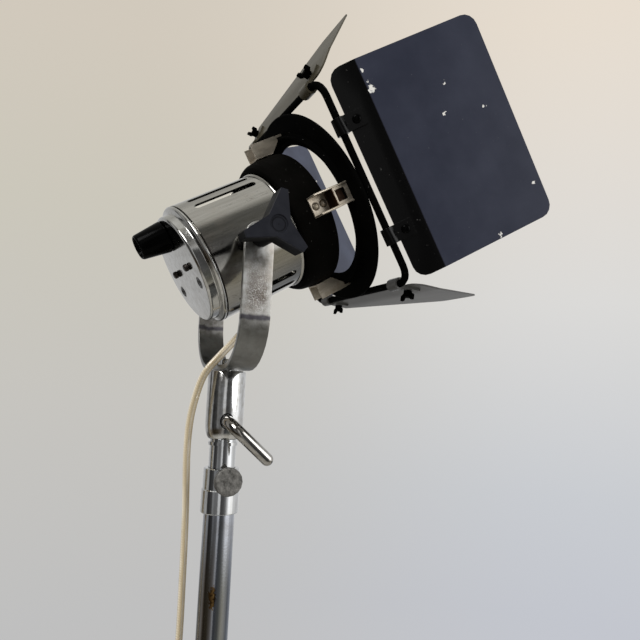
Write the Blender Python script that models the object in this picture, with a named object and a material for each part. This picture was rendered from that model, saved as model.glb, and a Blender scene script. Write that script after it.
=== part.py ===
"""Spotlight floor lamp: a slotted chrome lamp head with four barn doors, held in a strap yoke on a
telescopic column with a folding tripod. Metres, +Z up. The lamp faces -Y, tilted up. The origin is on
the floor, at the centre of the box around the lamp, so the column stands behind it."""
import bpy
import bmesh
import math
from mathutils import Matrix, Vector

# Driving dimensions: clearances between touching pieces
GAP = 0.0003
FACE_GAP = 0.0006

# Driving dimensions: column, riser and collar
COLUMN_RADIUS = 0.0093
COLUMN_WALL = 0.001
COLUMN_LENGTH = 1.08
COLUMN_LIFT = 0.010
RISER_WALL = 0.001
RISER_TRAVEL = 0.45
RISER_ENGAGEMENT = 0.10
COLLAR_WALL = 0.0018
COLLAR_STEP = 0.0007
COLLAR_LOWER_HEIGHT = 0.0138
COLLAR_UPPER_HEIGHT = 0.0123
NECK_HEIGHT = 0.0134
RIM_HEIGHT = 0.002
RIM_WIDTH = 0.001
SPIGOT_LENGTH = 0.030
SCREW_DISC_RADIUS = 0.0083
SCREW_DISC_THICKNESS = 0.004
SCREW_SHANK_RADIUS = 0.0025
SCREW_REACH = 0.0025

# Driving dimensions: folding tripod
LEG_LENGTH = 0.42
LEG_RADIUS = 0.0063
LEG_SPREAD = math.radians(50)
LEG_AZIMUTHS = {"front": -90, "right": 30, "left": 150}
HUB_WALL = 0.0065
HUB_HEIGHT = 0.026
LUG_WALL = 0.004
LUG_RADIUS = 0.008
SLOT_BACKING = 0.0028
PIN_RADIUS = 0.002
PIVOT_CLEARANCE = 0.0009
BRACE_THICKNESS = 0.002
BRACE_WIDTH = 0.010
FOOT_RADIUS = 0.013
FOOT_HEIGHT = 0.036
FOOT_PIVOT_HEIGHT = 0.022

# Driving dimensions: socket, lever and yoke
SOCKET_HEIGHT = 0.0409
SOCKET_WALL = 0.0032
SOCKET_GAP = 0.0016
SOCKET_ROUNDING = 0.003
SOCKET_ROUNDING_HEIGHT = 0.0065
LEVER_RADIUS = 0.0037
LEVER_HEIGHT = 0.0111
LEVER_SINK = 0.0009
LEVER_REACH = 0.0120
LEVER_BEND = 0.010
LEVER_ARM = 0.034
LEVER_AZIMUTH = math.radians(172)
LEVER_DROOP = math.radians(42)
YOKE_HEIGHT = 0.0741
YOKE_THICKNESS = 0.003
YOKE_WIDTH = 0.017
YOKE_BEND = 0.030
YOKE_BOLT_RADIUS = 0.003
BOLT_HEAD_RADIUS = 0.0058
BOLT_HEAD_HEIGHT = 0.0035

# Driving dimensions: tilt hardware
SPACER_LENGTH = 0.0083
SPACER_RADIUS = 0.0075
STUD_RADIUS = 0.003
KNOB_TIP_RADIUS = 0.019
KNOB_TIP_WIDTH = 0.0038
KNOB_WAIST_RADIUS = 0.0068
KNOB_THICKNESS = 0.012
KNOB_BOSS_LENGTH = 0.0165
KNOB_DISC_RADIUS = 0.0049
KNOB_LOBE_ANGLE = math.radians(84)

# Driving dimensions: lamp head, stations measured forward along the optical axis from the tilt axis
HEAD_TILT = math.radians(30.8)
AXIS_RISE = 0.0025
CAN_RADIUS = 0.0374
CAN_WALL = 0.0012
CAN_BACK = -0.0256
CAN_LENGTH = 0.0587
SLOT_WIDTH = 0.0045
SLOT_BACK = -0.0185
SLOT_LENGTH = 0.0410
SLOT_ANGLES = (50, 66, 114, 130, -53, -69, -111, -127)
CAP_DEPTH = 0.0094
CAP_STEP = 0.0038
CAP_WALL = 0.0012
CAP_LIP = 0.0046
FOCUS_KNOB_RISE = 0.0225
FOCUS_KNOB_BASE = 0.0098
FOCUS_KNOB_END = 0.0076
FOCUS_KNOB_LENGTH = 0.0176
FOCUS_SPINDLE_RADIUS = 0.003
GUIDE_SPREAD = 0.0146
GUIDE_RADIUS = 0.0015
GUIDE_HEAD_RADIUS = 0.0022
RIVET_SPREAD = 0.0215
RIVET_DROP = 0.0112
RIVET_RADIUS = 0.0037
CARRIAGE_OFFSET = 0.0131
CARRIAGE_THICKNESS = 0.002
HOLDER_RADIUS = 0.009
HOLDER_LENGTH = 0.012
BULB_RADIUS = 0.0095
BULB_LENGTH = 0.030

# Driving dimensions: front collar and lens
FRONT_COLLAR_WALL = 0.0062
FRONT_COLLAR_LENGTH = 0.0224
FRONT_COLLAR_OVERLAP = 0.0042
LENS_RADIUS = 0.0399
LENS_EDGE = 0.0044
LENS_DOME = 0.0035
LENS_RING_THICKNESS = 0.0016

# Driving dimensions: spring clips, barn-door ring, rod frame and leaves
CLIP_WIDTH = 0.0126
CLIP_SHEET = 0.001
CLIP_FLANGE = 0.0006
CLIP_SEAT_LENGTH = 0.0122
CLIP_LENGTH = 0.0236
RING_THICKNESS = 0.003
RING_INNER_MARGIN = 0.0014
RING_LIP_STEP = 0.0051
RING_LIP_WALL = 0.002
RING_LIP_HEIGHT = 0.0042
RING_FLANGE = 0.0122
ROD_RADIUS = 0.0022
ROD_INSET = 0.0014
ROD_CORNER = 0.010
LEAF_SHEET = 0.001
LEAF_OVERHANG = 0.0015
NARROW_LEAF_INSET = 0.0012
LEAF_HINGE_GAP = 0.005
LEAF_STRIP = 0.0225
LEAF_FOLD = math.radians(12)
LEAF_CORNER = 0.008
WIDE_LEAF_PANEL = 0.080
NARROW_LEAF_PANEL = 0.064
NARROW_LEAF_EDGE = 0.038
CLAMP_LENGTH = 0.010
CLAMP_STRAP = 0.0014
CLAMP_TAIL = 0.015
WIDE_CLAMP_OFFSET = 0.034
NARROW_CLAMP_OFFSET = 0.0475
WING_SPAN = 0.013
WING_HEIGHT = 0.006

# Driving dimensions: flex, its gland under the can, its coil and its plug
CORD_RADIUS = 0.0025
GLAND_STATION = -0.0045
GLAND_RADIUS = 0.004
GLAND_FLANGE = 0.0030
COIL_RADIUS = 0.033
COIL_THICKNESS = 0.010
PLUG_LENGTH = 0.030
PLUG_WIDTH = 0.022
PLUG_HEIGHT = 0.014
PIN_BLADE_LENGTH = 0.016

# The open angle of each leaf's panel from the optical axis, and its turn about that axis
LEAVES = {"top": (30, 0), "near": (13, 90), "bottom": (24, 180), "far": (33, 270)}

# Heights up the stand
column_top = COLUMN_LIFT + COLUMN_LENGTH
riser_radius = COLUMN_RADIUS - COLUMN_WALL - GAP
collar_top = column_top + COLLAR_UPPER_HEIGHT
rim_base = collar_top + NECK_HEIGHT
socket_base = rim_base + RIM_HEIGHT + SOCKET_GAP
socket_top = socket_base + SOCKET_HEIGHT
pivot_height = socket_top + GAP + YOKE_HEIGHT
socket_bore = riser_radius + GAP
socket_radius = socket_bore + SOCKET_WALL
lever_height = socket_base + LEVER_HEIGHT

# Tripod geometry: each brace is half a leg long, so a foot keeps its height as the legs fold
hub_bore = COLUMN_RADIUS + GAP
hub_radius = hub_bore + HUB_WALL
pivot_circle = hub_radius + SLOT_BACKING + PIVOT_CLEARANCE + LEG_RADIUS
foot_circle = pivot_circle + LEG_LENGTH * math.sin(LEG_SPREAD)
hub_height = FOOT_PIVOT_HEIGHT + LEG_LENGTH * math.cos(LEG_SPREAD)
brace_offset = LEG_RADIUS + FACE_GAP + BRACE_THICKNESS / 2
column_y = foot_circle / 4

# Stations along the optical axis
can_front = CAN_BACK + CAN_LENGTH
cap_face = CAN_BACK - CAP_DEPTH
carriage_station = cap_face + CARRIAGE_OFFSET + CARRIAGE_THICKNESS
front_collar_back = can_front - FRONT_COLLAR_OVERLAP
front_collar_front = front_collar_back + FRONT_COLLAR_LENGTH
front_collar_radius = CAN_RADIUS + FRONT_COLLAR_WALL
lens_back = can_front + 0.0038
clip_back = front_collar_front - 0.0129
clip_front = clip_back + CLIP_LENGTH
ring_back = clip_front + GAP
ring_front = ring_back + RING_THICKNESS
door_station = ring_front + GAP + ROD_RADIUS

# Radii of the clips, the ring and the rod frame
clip_seat = front_collar_radius + GAP
ring_inner = front_collar_radius + RING_INNER_MARGIN
lip_inner = ring_inner + RING_LIP_STEP
lip_back = ring_back - RING_LIP_HEIGHT
clip_strap = lip_inner + RING_LIP_WALL + GAP
clip_edge = clip_strap + CLIP_SHEET + CLIP_FLANGE
ring_outer = lip_inner + RING_LIP_WALL + RING_FLANGE
door_half = ring_outer - ROD_INSET
wide_leaf_half = door_half + LEAF_OVERHANG
narrow_leaf_half = door_half - NARROW_LEAF_INSET

# Yoke arms stand off the can by a spacer on each side
spacer_inner = CAN_RADIUS + GAP
arm_inner = spacer_inner + SPACER_LENGTH + GAP
arm_outer = arm_inner + YOKE_THICKNESS


def clear_scene():
    """Start from an empty scene."""
    for obj in list(bpy.data.objects):
        bpy.data.objects.remove(obj, do_unlink=True)


def srgb(code):
    """A hex colour as linear RGBA."""
    channels = [int(code[i:i + 2], 16) / 255 for i in (0, 2, 4)]
    return [c / 12.92 if c <= 0.04045 else ((c + 0.055) / 1.055) ** 2.4 for c in channels] + [1.0]


def material(name, code, roughness, metallic):
    """A plain Principled material."""
    made = bpy.data.materials.get(name)
    if made is None:
        made = bpy.data.materials.new(name)
        made.use_nodes = True
        shader = made.node_tree.nodes["Principled BSDF"]
        shader.inputs["Base Color"].default_value = srgb(code)
        shader.inputs["Roughness"].default_value = roughness
        shader.inputs["Metallic"].default_value = metallic
        made.diffuse_color = srgb(code)
    return made


def chrome():
    return material("chrome", "C9CBCC", 0.12, 1.0)


def black_paint():
    return material("black_paint", "2C2F38", 0.45, 0.0)


def black_plastic():
    return material("black_plastic", "1B1C1E", 0.4, 0.0)


def rubber():
    return material("rubber", "1E1E1F", 0.8, 0.0)


def flex():
    return material("clear_flex", "C9B792", 0.3, 0.0)


def empty(name, location, rotation=(0, 0, 0), parent=None):
    """A frame that carries the pieces of one moving body."""
    frame = bpy.data.objects.new(name, None)
    bpy.context.collection.objects.link(frame)
    frame.location = location
    frame.rotation_euler = rotation
    frame.parent = parent
    frame.empty_display_size = 0.02
    return frame


def add(name, bm, finish, parent=None, location=(0, 0, 0), rotation=(0, 0, 0)):
    """Turn a bmesh into a named object with its own finish."""
    bm.normal_update()
    bmesh.ops.recalc_face_normals(bm, faces=bm.faces)
    mesh = bpy.data.meshes.new(name)
    bm.to_mesh(mesh)
    bm.free()
    mesh.shade_smooth()
    mesh.set_sharp_from_angle(angle=math.radians(35))
    obj = bpy.data.objects.new(name, mesh)
    bpy.context.collection.objects.link(obj)
    obj.location = location
    obj.rotation_euler = rotation
    obj.parent = parent
    if finish is not None:
        mesh.materials.append(finish)
    return obj


def copy_of(source, name, parent=None, location=(0, 0, 0), rotation=(0, 0, 0)):
    """Another object on the same mesh, with the same modifiers."""
    twin = source.copy()
    twin.name = name
    bpy.context.collection.objects.link(twin)
    twin.parent = parent
    twin.location = location
    twin.rotation_euler = rotation
    return twin


def turned_mesh(profile, steps):
    """Spin a profile of (radius, height) points about Z. It closes on itself or on the axis."""
    bm = bmesh.new()
    ring = [bm.verts.new((radius, 0, height)) for radius, height in profile]
    edges = [bm.edges.new(pair) for pair in zip(ring, ring[1:])]
    if profile[0][0] > 0 or profile[-1][0] > 0:
        edges.append(bm.edges.new((ring[-1], ring[0])))
    bmesh.ops.spin(bm, geom=ring + edges, cent=(0, 0, 0), axis=(0, 0, 1), angle=math.tau,
                   steps=steps, use_merge=True)
    bmesh.ops.remove_doubles(bm, verts=bm.verts, dist=1e-6)
    return bm


def turned(name, profile, steps, finish, parent=None, location=(0, 0, 0), rotation=(0, 0, 0)):
    """A lathe-turned piece."""
    return add(name, turned_mesh(profile, steps), finish, parent, location, rotation)


def tube_profile(outer, inner, base, top):
    return [(inner, base), (outer, base), (outer, top), (inner, top)]


def rod_profile(radius, base, top):
    return [(0, base), (radius, base), (radius, top), (0, top)]


def arc(centre, radius, start, end, count):
    """Points on an arc, angles in radians, both ends included."""
    turn = (end - start) / (count - 1)
    return [(centre[0] + radius * math.cos(start + turn * i),
             centre[1] + radius * math.sin(start + turn * i)) for i in range(count)]


def prism_mesh(loops, depth):
    """Extrude an outline, with any holes, along Z. The first loop is the outline."""
    bm = bmesh.new()
    edges = []
    for loop in loops:
        verts = [bm.verts.new((x, y, -depth / 2)) for x, y in loop]
        edges += [bm.edges.new(pair) for pair in zip(verts, verts[1:] + verts[:1])]
    if len(loops) == 1:
        bm.faces.new(bm.verts)
    else:
        bmesh.ops.triangle_fill(bm, edges=edges, use_beauty=True, use_dissolve=False)
    raised = bmesh.ops.extrude_face_region(bm, geom=bm.faces[:])
    moved = [item for item in raised["geom"] if isinstance(item, bmesh.types.BMVert)]
    bmesh.ops.translate(bm, verts=moved, vec=(0, 0, depth))
    return bm


def joined_mesh(parts):
    """Several separate solids in one mesh, each given with its matrix."""
    whole = bmesh.new()
    for part, matrix in parts:
        part.transform(matrix)
        scratch = bpy.data.meshes.new("scratch")
        part.to_mesh(scratch)
        part.free()
        whole.from_mesh(scratch)
        bpy.data.meshes.remove(scratch)
    return whole


def shape(target, operation, bm, name):
    """Cut a mesh from a piece, or union one to it, both in the piece's own frame."""
    tool = add(name, bm, None, target.parent, target.location, target.rotation_euler)
    tool.hide_render = True
    tool.display_type = 'WIRE'
    step = target.modifiers.new(name, 'BOOLEAN')
    step.operation = operation
    step.solver = 'EXACT'
    step.object = tool
    return tool


def cylinder_along(direction, radius, start, end, steps=16):
    """A cylinder from start to end along a direction through the origin."""
    turn = Vector((0, 0, 1)).rotation_difference(Vector(direction)).to_matrix().to_4x4()
    bm = turned_mesh(rod_profile(radius, start, end), steps)
    bm.transform(turn)
    return bm


def wire(name, points, radius, finish, resolution, parent=None, closed=False):
    """A round bar or flex that follows a line of points."""
    curve = bpy.data.curves.new(name, 'CURVE')
    curve.dimensions = '3D'
    curve.bevel_depth = radius
    curve.bevel_resolution = resolution
    curve.use_fill_caps = True
    spline = curve.splines.new('POLY')
    spline.points.add(len(points) - 1)
    for slot, point in zip(spline.points, points):
        slot.co = (*point, 1)
    spline.use_cyclic_u = closed
    curve.materials.append(finish)
    obj = bpy.data.objects.new(name, curve)
    bpy.context.collection.objects.link(obj)
    obj.parent = parent
    return obj


def smooth_line(points, spacing):
    """Read evenly spaced points off a smooth curve through a hand-chosen route."""
    route = [Vector(p) for p in points]
    padded = [2 * route[0] - route[1]] + route + [2 * route[-1] - route[-2]]
    fine = []
    for a, b, c, d in zip(padded, padded[1:], padded[2:], padded[3:]):
        for i in range(40):
            t = i / 40
            fine.append(0.5 * (2 * b + (c - a) * t + (2 * a - 5 * b + 4 * c - d) * t ** 2
                               + (3 * b - a - 3 * c + d) * t ** 3))
    fine.append(route[-1])
    steps = [(q - p).length for p, q in zip(fine, fine[1:])]
    count = max(2, round(sum(steps) / spacing))
    even = [fine[0]]
    travelled, target = 0.0, sum(steps) / count
    for p, q, step in zip(fine, fine[1:], steps):
        while travelled + step >= target * len(even) and len(even) < count:
            even.append(p.lerp(q, (target * len(even) - travelled) / step))
        travelled += step
    return even + [fine[-1]]


def build_column(stand):
    """The outer tube and the stepped collar that guides and clamps the riser."""
    turned("column_tube", tube_profile(COLUMN_RADIUS, COLUMN_RADIUS - COLUMN_WALL, COLUMN_LIFT, column_top),
           20, chrome(), stand)
    upper = riser_radius + GAP + COLLAR_WALL + COLLAR_STEP
    lower = COLUMN_RADIUS + GAP + COLLAR_WALL
    base = column_top - COLLAR_LOWER_HEIGHT
    chamfer = 0.0005
    collar = turned("riser_collar", [
        (COLUMN_RADIUS + GAP, base), (lower - chamfer, base), (lower, base + chamfer),
        (lower, column_top - chamfer), (lower - chamfer, column_top), (upper, column_top),
        (upper, collar_top - chamfer), (upper - chamfer, collar_top), (riser_radius + GAP, collar_top),
        (riser_radius + GAP, column_top + GAP), (COLUMN_RADIUS + GAP, column_top + GAP)],
        20, chrome(), stand)
    bore = cylinder_along((-1, 0, 0), SCREW_SHANK_RADIUS + GAP, riser_radius / 2, 2 * lower)
    bore.transform(Matrix.Translation((0, 0, column_top + COLLAR_UPPER_HEIGHT / 2)))
    shape(collar, 'DIFFERENCE', bore, "collar_screw_bore")
    build_thumbscrew("collar_thumbscrew", stand, riser_radius, upper,
                     column_top + COLLAR_UPPER_HEIGHT / 2, math.pi)


def build_thumbscrew(name, stand, inner, outer, height, azimuth):
    """A disc-headed screw that bears on the tube inside its collar."""
    disc = outer + SCREW_REACH
    face = disc + SCREW_DISC_THICKNESS
    chamfer = 0.0005
    mount = empty(name + "_axis", (0, 0, height), (0, math.pi / 2, azimuth), stand)
    turned(name, [(0, inner + GAP), (SCREW_SHANK_RADIUS, inner + GAP), (SCREW_SHANK_RADIUS, disc),
                  (SCREW_DISC_RADIUS - chamfer, disc), (SCREW_DISC_RADIUS, disc + chamfer),
                  (SCREW_DISC_RADIUS, face - chamfer), (SCREW_DISC_RADIUS - chamfer, face), (0, face)],
           16, chrome(), mount)


def build_riser(stand):
    """The inner tube, its rim and the spigot that carries the socket."""
    riser = empty("riser_frame", (0, 0, 0), parent=stand)
    base = column_top - RISER_TRAVEL - RISER_ENGAGEMENT
    spigot_top = rim_base + RIM_HEIGHT + SPIGOT_LENGTH
    turned("riser_tube", [
        (riser_radius - RISER_WALL, base), (riser_radius, base), (riser_radius, rim_base),
        (riser_radius + RIM_WIDTH, rim_base), (riser_radius + RIM_WIDTH, rim_base + RIM_HEIGHT),
        (riser_radius, rim_base + RIM_HEIGHT), (riser_radius, spigot_top - 0.001),
        (riser_radius - RISER_WALL, spigot_top)], 20, chrome(), riser)


def build_hub(name, stand, height, slot_offset, slot_width):
    """A cast hub with a slotted lug and a pin for each leg or brace."""
    half = HUB_HEIGHT / 2
    chamfer = 0.001
    hub = turned(name, [
        (hub_bore, -half), (hub_radius - chamfer, -half), (hub_radius, chamfer - half),
        (hub_radius, half - chamfer), (hub_radius - chamfer, half), (hub_bore, half)],
        20, chrome(), stand, (0, 0, height))
    root = hub_bore + HUB_WALL / 3
    lug_width = slot_width + 2 * LUG_WALL
    outline = [(root, LUG_RADIUS), (root, -LUG_RADIUS)]
    outline += arc((pivot_circle, 0), LUG_RADIUS, -math.pi / 2, math.pi / 2, 7)
    slot_back = pivot_circle - LEG_RADIUS - PIVOT_CLEARANCE
    slot = [(slot_back, -HUB_HEIGHT), (2 * pivot_circle, -HUB_HEIGHT), (2 * pivot_circle, HUB_HEIGHT),
            (slot_back, HUB_HEIGHT)]
    upright = Matrix.Rotation(math.pi / 2, 4, 'X')
    lugs, slots, pins = [], [], []
    for azimuth in LEG_AZIMUTHS.values():
        turn = Matrix.Rotation(math.radians(azimuth), 4, 'Z') @ Matrix.Translation((0, slot_offset, 0))
        lugs.append((prism_mesh([outline], lug_width), turn @ upright))
        slots.append((prism_mesh([slot], slot_width), turn @ upright))
        pin = turned_mesh(rod_profile(PIN_RADIUS, -slot_width / 2 - LUG_WALL / 2,
                                      slot_width / 2 + LUG_WALL / 2), 12)
        pins.append((pin, turn @ Matrix.Translation((pivot_circle, 0, 0)) @ upright))
    shape(hub, 'UNION', joined_mesh(lugs), name + "_lugs")
    shape(hub, 'DIFFERENCE', joined_mesh(slots), name + "_slots")
    shape(hub, 'UNION', joined_mesh(pins), name + "_pins")
    return hub


def build_leg(name, azimuth, hub):
    """A tubular leg, its brace and its rubber foot."""
    outward = Vector((math.cos(azimuth), math.sin(azimuth), 0))
    leg_turn = (0, math.pi - LEG_SPREAD, azimuth)
    hinge = empty("leg_" + name + "_axis", outward * pivot_circle + Vector((0, 0, hub_height)),
                  leg_turn, hub)
    end = LEG_LENGTH
    dome = [(LEG_RADIUS * math.sin(a), -LEG_RADIUS * math.cos(a)) for a in
            [math.radians(22.5 * i) for i in range(5)]]
    leg = turned("leg_" + name, dome + [(LEG_RADIUS, end), (0, end)], 12, chrome(), hinge)
    shape(leg, 'DIFFERENCE', cylinder_along((0, 1, 0), PIN_RADIUS + GAP, -2 * LEG_RADIUS, 2 * LEG_RADIUS, 16),
          "leg_" + name + "_bore")
    foot = turned("foot_" + name, [
        (0, -FOOT_PIVOT_HEIGHT), (FOOT_RADIUS - 0.002, -FOOT_PIVOT_HEIGHT),
        (FOOT_RADIUS, 0.002 - FOOT_PIVOT_HEIGHT), (FOOT_RADIUS, -0.004), (FOOT_RADIUS - 0.001, 0.004),
        (FOOT_RADIUS - 0.004, FOOT_HEIGHT - FOOT_PIVOT_HEIGHT - 0.002),
        (0, FOOT_HEIGHT - FOOT_PIVOT_HEIGHT)], 16, rubber(), hinge, (0, 0, end), (0, LEG_SPREAD - math.pi, 0))
    up_the_leg = (-math.sin(LEG_SPREAD), 0, math.cos(LEG_SPREAD))
    pocket = cylinder_along(up_the_leg, LEG_RADIUS + GAP, -GAP, LEG_LENGTH / 4)
    shape(foot, 'DIFFERENCE', pocket, "foot_" + name + "_pocket")
    build_brace(name, azimuth, outward, hub.parent)


def build_brace(name, azimuth, outward, stand):
    """A flat brace that runs beside the leg from the lower hub to the middle of the leg."""
    length = LEG_LENGTH / 2
    foot_end = arc((0, 0), BRACE_WIDTH / 2, math.pi / 2, 3 * math.pi / 2, 7)
    knee_end = arc((length, 0), BRACE_WIDTH / 2, -math.pi / 2, math.pi / 2, 7)
    holes = [list(reversed(arc((x, 0), PIN_RADIUS + GAP, 0, math.tau * 11 / 12, 12))) for x in (0, length)]
    axis = empty("brace_" + name + "_axis", outward * pivot_circle + Vector((0, 0, FOOT_PIVOT_HEIGHT)),
                 (0, LEG_SPREAD - math.pi / 2, azimuth), stand)
    upright = Matrix.Rotation(math.pi / 2, 4, 'X')
    strap = prism_mesh([foot_end + knee_end] + holes, BRACE_THICKNESS)
    strap.transform(Matrix.Translation((0, brace_offset, 0)) @ upright)
    add("brace_" + name, strap, chrome(), axis)


def build_tripod(stand):
    """Sliding hub, fixed lower hub and three braced legs."""
    frame = empty("hub_frame", (0, 0, 0), parent=stand)
    leg_slot = 2 * (LEG_RADIUS + GAP)
    hub = build_hub("leg_hub", frame, hub_height, 0, leg_slot)
    bore = cylinder_along((math.cos(-math.pi / 6), math.sin(-math.pi / 6), 0), SCREW_SHANK_RADIUS + GAP,
                          COLUMN_RADIUS / 2, 2 * hub_radius)
    shape(hub, 'DIFFERENCE', bore, "leg_hub_screw_bore")
    build_thumbscrew("hub_thumbscrew", frame, COLUMN_RADIUS, hub_radius, hub_height, -math.pi / 6)
    build_hub("brace_hub", stand, FOOT_PIVOT_HEIGHT, brace_offset, BRACE_THICKNESS + 2 * GAP)
    for name, degrees in LEG_AZIMUTHS.items():
        build_leg(name, math.radians(degrees), frame)


def build_socket(pan):
    """The socket that turns on the spigot: its lower end is drawn in and rounded, and its side takes
    the bent clamp lever in a sunk hole."""
    across = Vector((math.cos(LEVER_AZIMUTH), math.sin(LEVER_AZIMUTH), 0))
    stretch = SOCKET_ROUNDING_HEIGHT / SOCKET_ROUNDING
    lower_end = [(r, stretch * z) for r, z in arc(
        (socket_radius - SOCKET_ROUNDING, SOCKET_ROUNDING), SOCKET_ROUNDING, -math.pi / 2, 0, 6)]
    socket = turned("stand_socket", [
        (0, SPIGOT_LENGTH + SOCKET_GAP + GAP), (socket_bore, SPIGOT_LENGTH + SOCKET_GAP + GAP),
        (socket_bore, 0), *lower_end,
        (socket_radius, SOCKET_HEIGHT - 0.0008), (socket_radius - 0.0008, SOCKET_HEIGHT), (0, SOCKET_HEIGHT)],
        24, chrome(), pan, (0, 0, socket_base))
    lever_hole = turned_mesh([
        (0, socket_bore / 2), (LEVER_RADIUS + GAP, socket_bore / 2),
        (LEVER_RADIUS + GAP, socket_radius - LEVER_SINK), (LEVER_RADIUS + GAP + LEVER_SINK, socket_radius),
        (LEVER_RADIUS + GAP + LEVER_SINK, 2 * socket_radius), (0, 2 * socket_radius)], 16)
    lever_hole.transform(Matrix.Translation((0, 0, LEVER_HEIGHT))
                         @ across.to_track_quat('Z', 'Y').to_matrix().to_4x4())
    shape(socket, 'DIFFERENCE', lever_hole, "socket_lever_hole")
    bolt_bore = turned_mesh(rod_profile(YOKE_BOLT_RADIUS + GAP, SPIGOT_LENGTH, 2 * SOCKET_HEIGHT), 16)
    shape(socket, 'DIFFERENCE', bolt_bore, "socket_bolt_bore")
    build_lever(pan)


def build_lever(pan):
    """A round bar screwed in through the side and bent square, so that turning it clamps the spigot."""
    axis = empty("socket_lever_axis", (0, 0, lever_height), (0, 0, LEVER_AZIMUTH), pan)
    start = riser_radius + 2 * GAP
    bend = socket_radius + LEVER_REACH - LEVER_BEND
    side = Vector((0, math.cos(LEVER_DROOP), -math.sin(LEVER_DROOP)))
    straight = [Vector((start, 0, 0)), Vector((bend, 0, 0))]
    corner = [Vector((bend + LEVER_BEND * math.sin(a), 0, 0)) - side * LEVER_BEND * (math.cos(a) - 1)
              for a in [math.radians(15 * i) for i in range(1, 7)]]
    end = corner[-1] + side * (LEVER_ARM - LEVER_BEND - LEVER_RADIUS)
    rounding = [math.radians(a) for a in (0, 30, 55, 75)]
    dome = [end + side * LEVER_RADIUS * math.sin(a) for a in rounding]
    lever = wire("socket_lever", straight + corner + dome, LEVER_RADIUS, chrome(), 3, axis)
    for slot, a in zip(lever.data.splines[0].points[-len(rounding):], rounding):
        slot.radius = math.cos(a)


def build_yoke(pan):
    """One strap bent to a U, with round ends on the tilt axis and a bolt down into the socket."""
    mid = (arm_inner + arm_outer) / 2
    low = YOKE_THICKNESS / 2 - YOKE_HEIGHT
    path = [(mid, -YOKE_WIDTH * 0.01)]
    path += arc((mid - YOKE_BEND, low + YOKE_BEND), YOKE_BEND, 0, -math.pi / 2, 9)
    path += [(-x, z) for x, z in reversed(path)]
    bm = bmesh.new()
    pairs = []
    for x, z in path:
        pairs.append((bm.verts.new((x, -YOKE_WIDTH / 2, z)), bm.verts.new((x, YOKE_WIDTH / 2, z))))
    for first, second in zip(pairs, pairs[1:]):
        bm.faces.new((first[0], first[1], second[1], second[0]))
    for side, pair in ((mid, pairs[0]), (-mid, pairs[-1])):
        top = arc((0, 0), YOKE_WIDTH / 2, 0, math.pi, 11)[1:-1]
        bm.faces.new([pair[0], pair[1]] + [bm.verts.new((side, y, z)) for y, z in top])
    for end in (pairs[0], pairs[-1]):
        for vert, y in zip(end, (-1, 1)):
            vert.co.z = 0
            vert.co.y = y * YOKE_WIDTH / 2
    yoke = add("yoke", bm, chrome(), pan, (0, 0, pivot_height))
    sheet = yoke.modifiers.new("strap_thickness", 'SOLIDIFY')
    sheet.thickness = YOKE_THICKNESS
    sheet.offset = 0
    sheet.use_even_offset = True
    shape(yoke, 'DIFFERENCE', cylinder_along((1, 0, 0), STUD_RADIUS + GAP, -2 * arm_outer, 2 * arm_outer),
          "yoke_pivot_bore")
    seat = turned_mesh(rod_profile(YOKE_BOLT_RADIUS + GAP, -2 * YOKE_HEIGHT, -YOKE_HEIGHT / 2), 16)
    shape(yoke, 'DIFFERENCE', seat, "yoke_bolt_bore")
    head = YOKE_THICKNESS + GAP - YOKE_HEIGHT
    tip = GAP + SPIGOT_LENGTH + SOCKET_GAP - SOCKET_HEIGHT + GAP - YOKE_HEIGHT
    turned("yoke_bolt", [
        (0, tip), (YOKE_BOLT_RADIUS, tip), (YOKE_BOLT_RADIUS, head), (BOLT_HEAD_RADIUS, head),
        (BOLT_HEAD_RADIUS, head + BOLT_HEAD_HEIGHT - 0.001), (BOLT_HEAD_RADIUS - 0.001, head + BOLT_HEAD_HEIGHT),
        (0, head + BOLT_HEAD_HEIGHT)], 16, chrome(), pan, (0, 0, pivot_height))


def build_tilt_hardware(tilt):
    """Spacers, the near stud with its three-lobed knob and the far pivot screw."""
    sideways = {"near": (0, -math.pi / 2, 0), "far": (0, math.pi / 2, 0)}
    bore = STUD_RADIUS + GAP
    for side, turn in sideways.items():
        turned("pivot_spacer_" + side, tube_profile(SPACER_RADIUS, bore, spacer_inner, arm_inner - GAP),
               16, black_plastic(), tilt, rotation=turn)
    nut_face = CAN_RADIUS - CAN_WALL - 0.001
    nut = [(0, nut_face - 0.0035), (0.0055, nut_face - 0.0035), (0.0055, nut_face), (STUD_RADIUS, nut_face)]
    knob_back = arm_outer + FACE_GAP
    knob_face = knob_back + KNOB_BOSS_LENGTH + KNOB_THICKNESS
    stud_end = knob_face - KNOB_THICKNESS / 2
    turned("tilt_stud", nut + [(STUD_RADIUS, stud_end), (0, stud_end)], 16, chrome(), tilt,
           rotation=sideways["near"])
    head = arm_outer + GAP
    turned("pivot_screw", nut + [
        (STUD_RADIUS, head), (0.0062, head), (0.0062, head + 0.0015), (0.0045, head + 0.0035),
        (0, head + 0.004)], 16, chrome(), tilt, rotation=sideways["far"])
    build_tilt_knob(tilt, knob_back, knob_face, stud_end + GAP)


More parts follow.
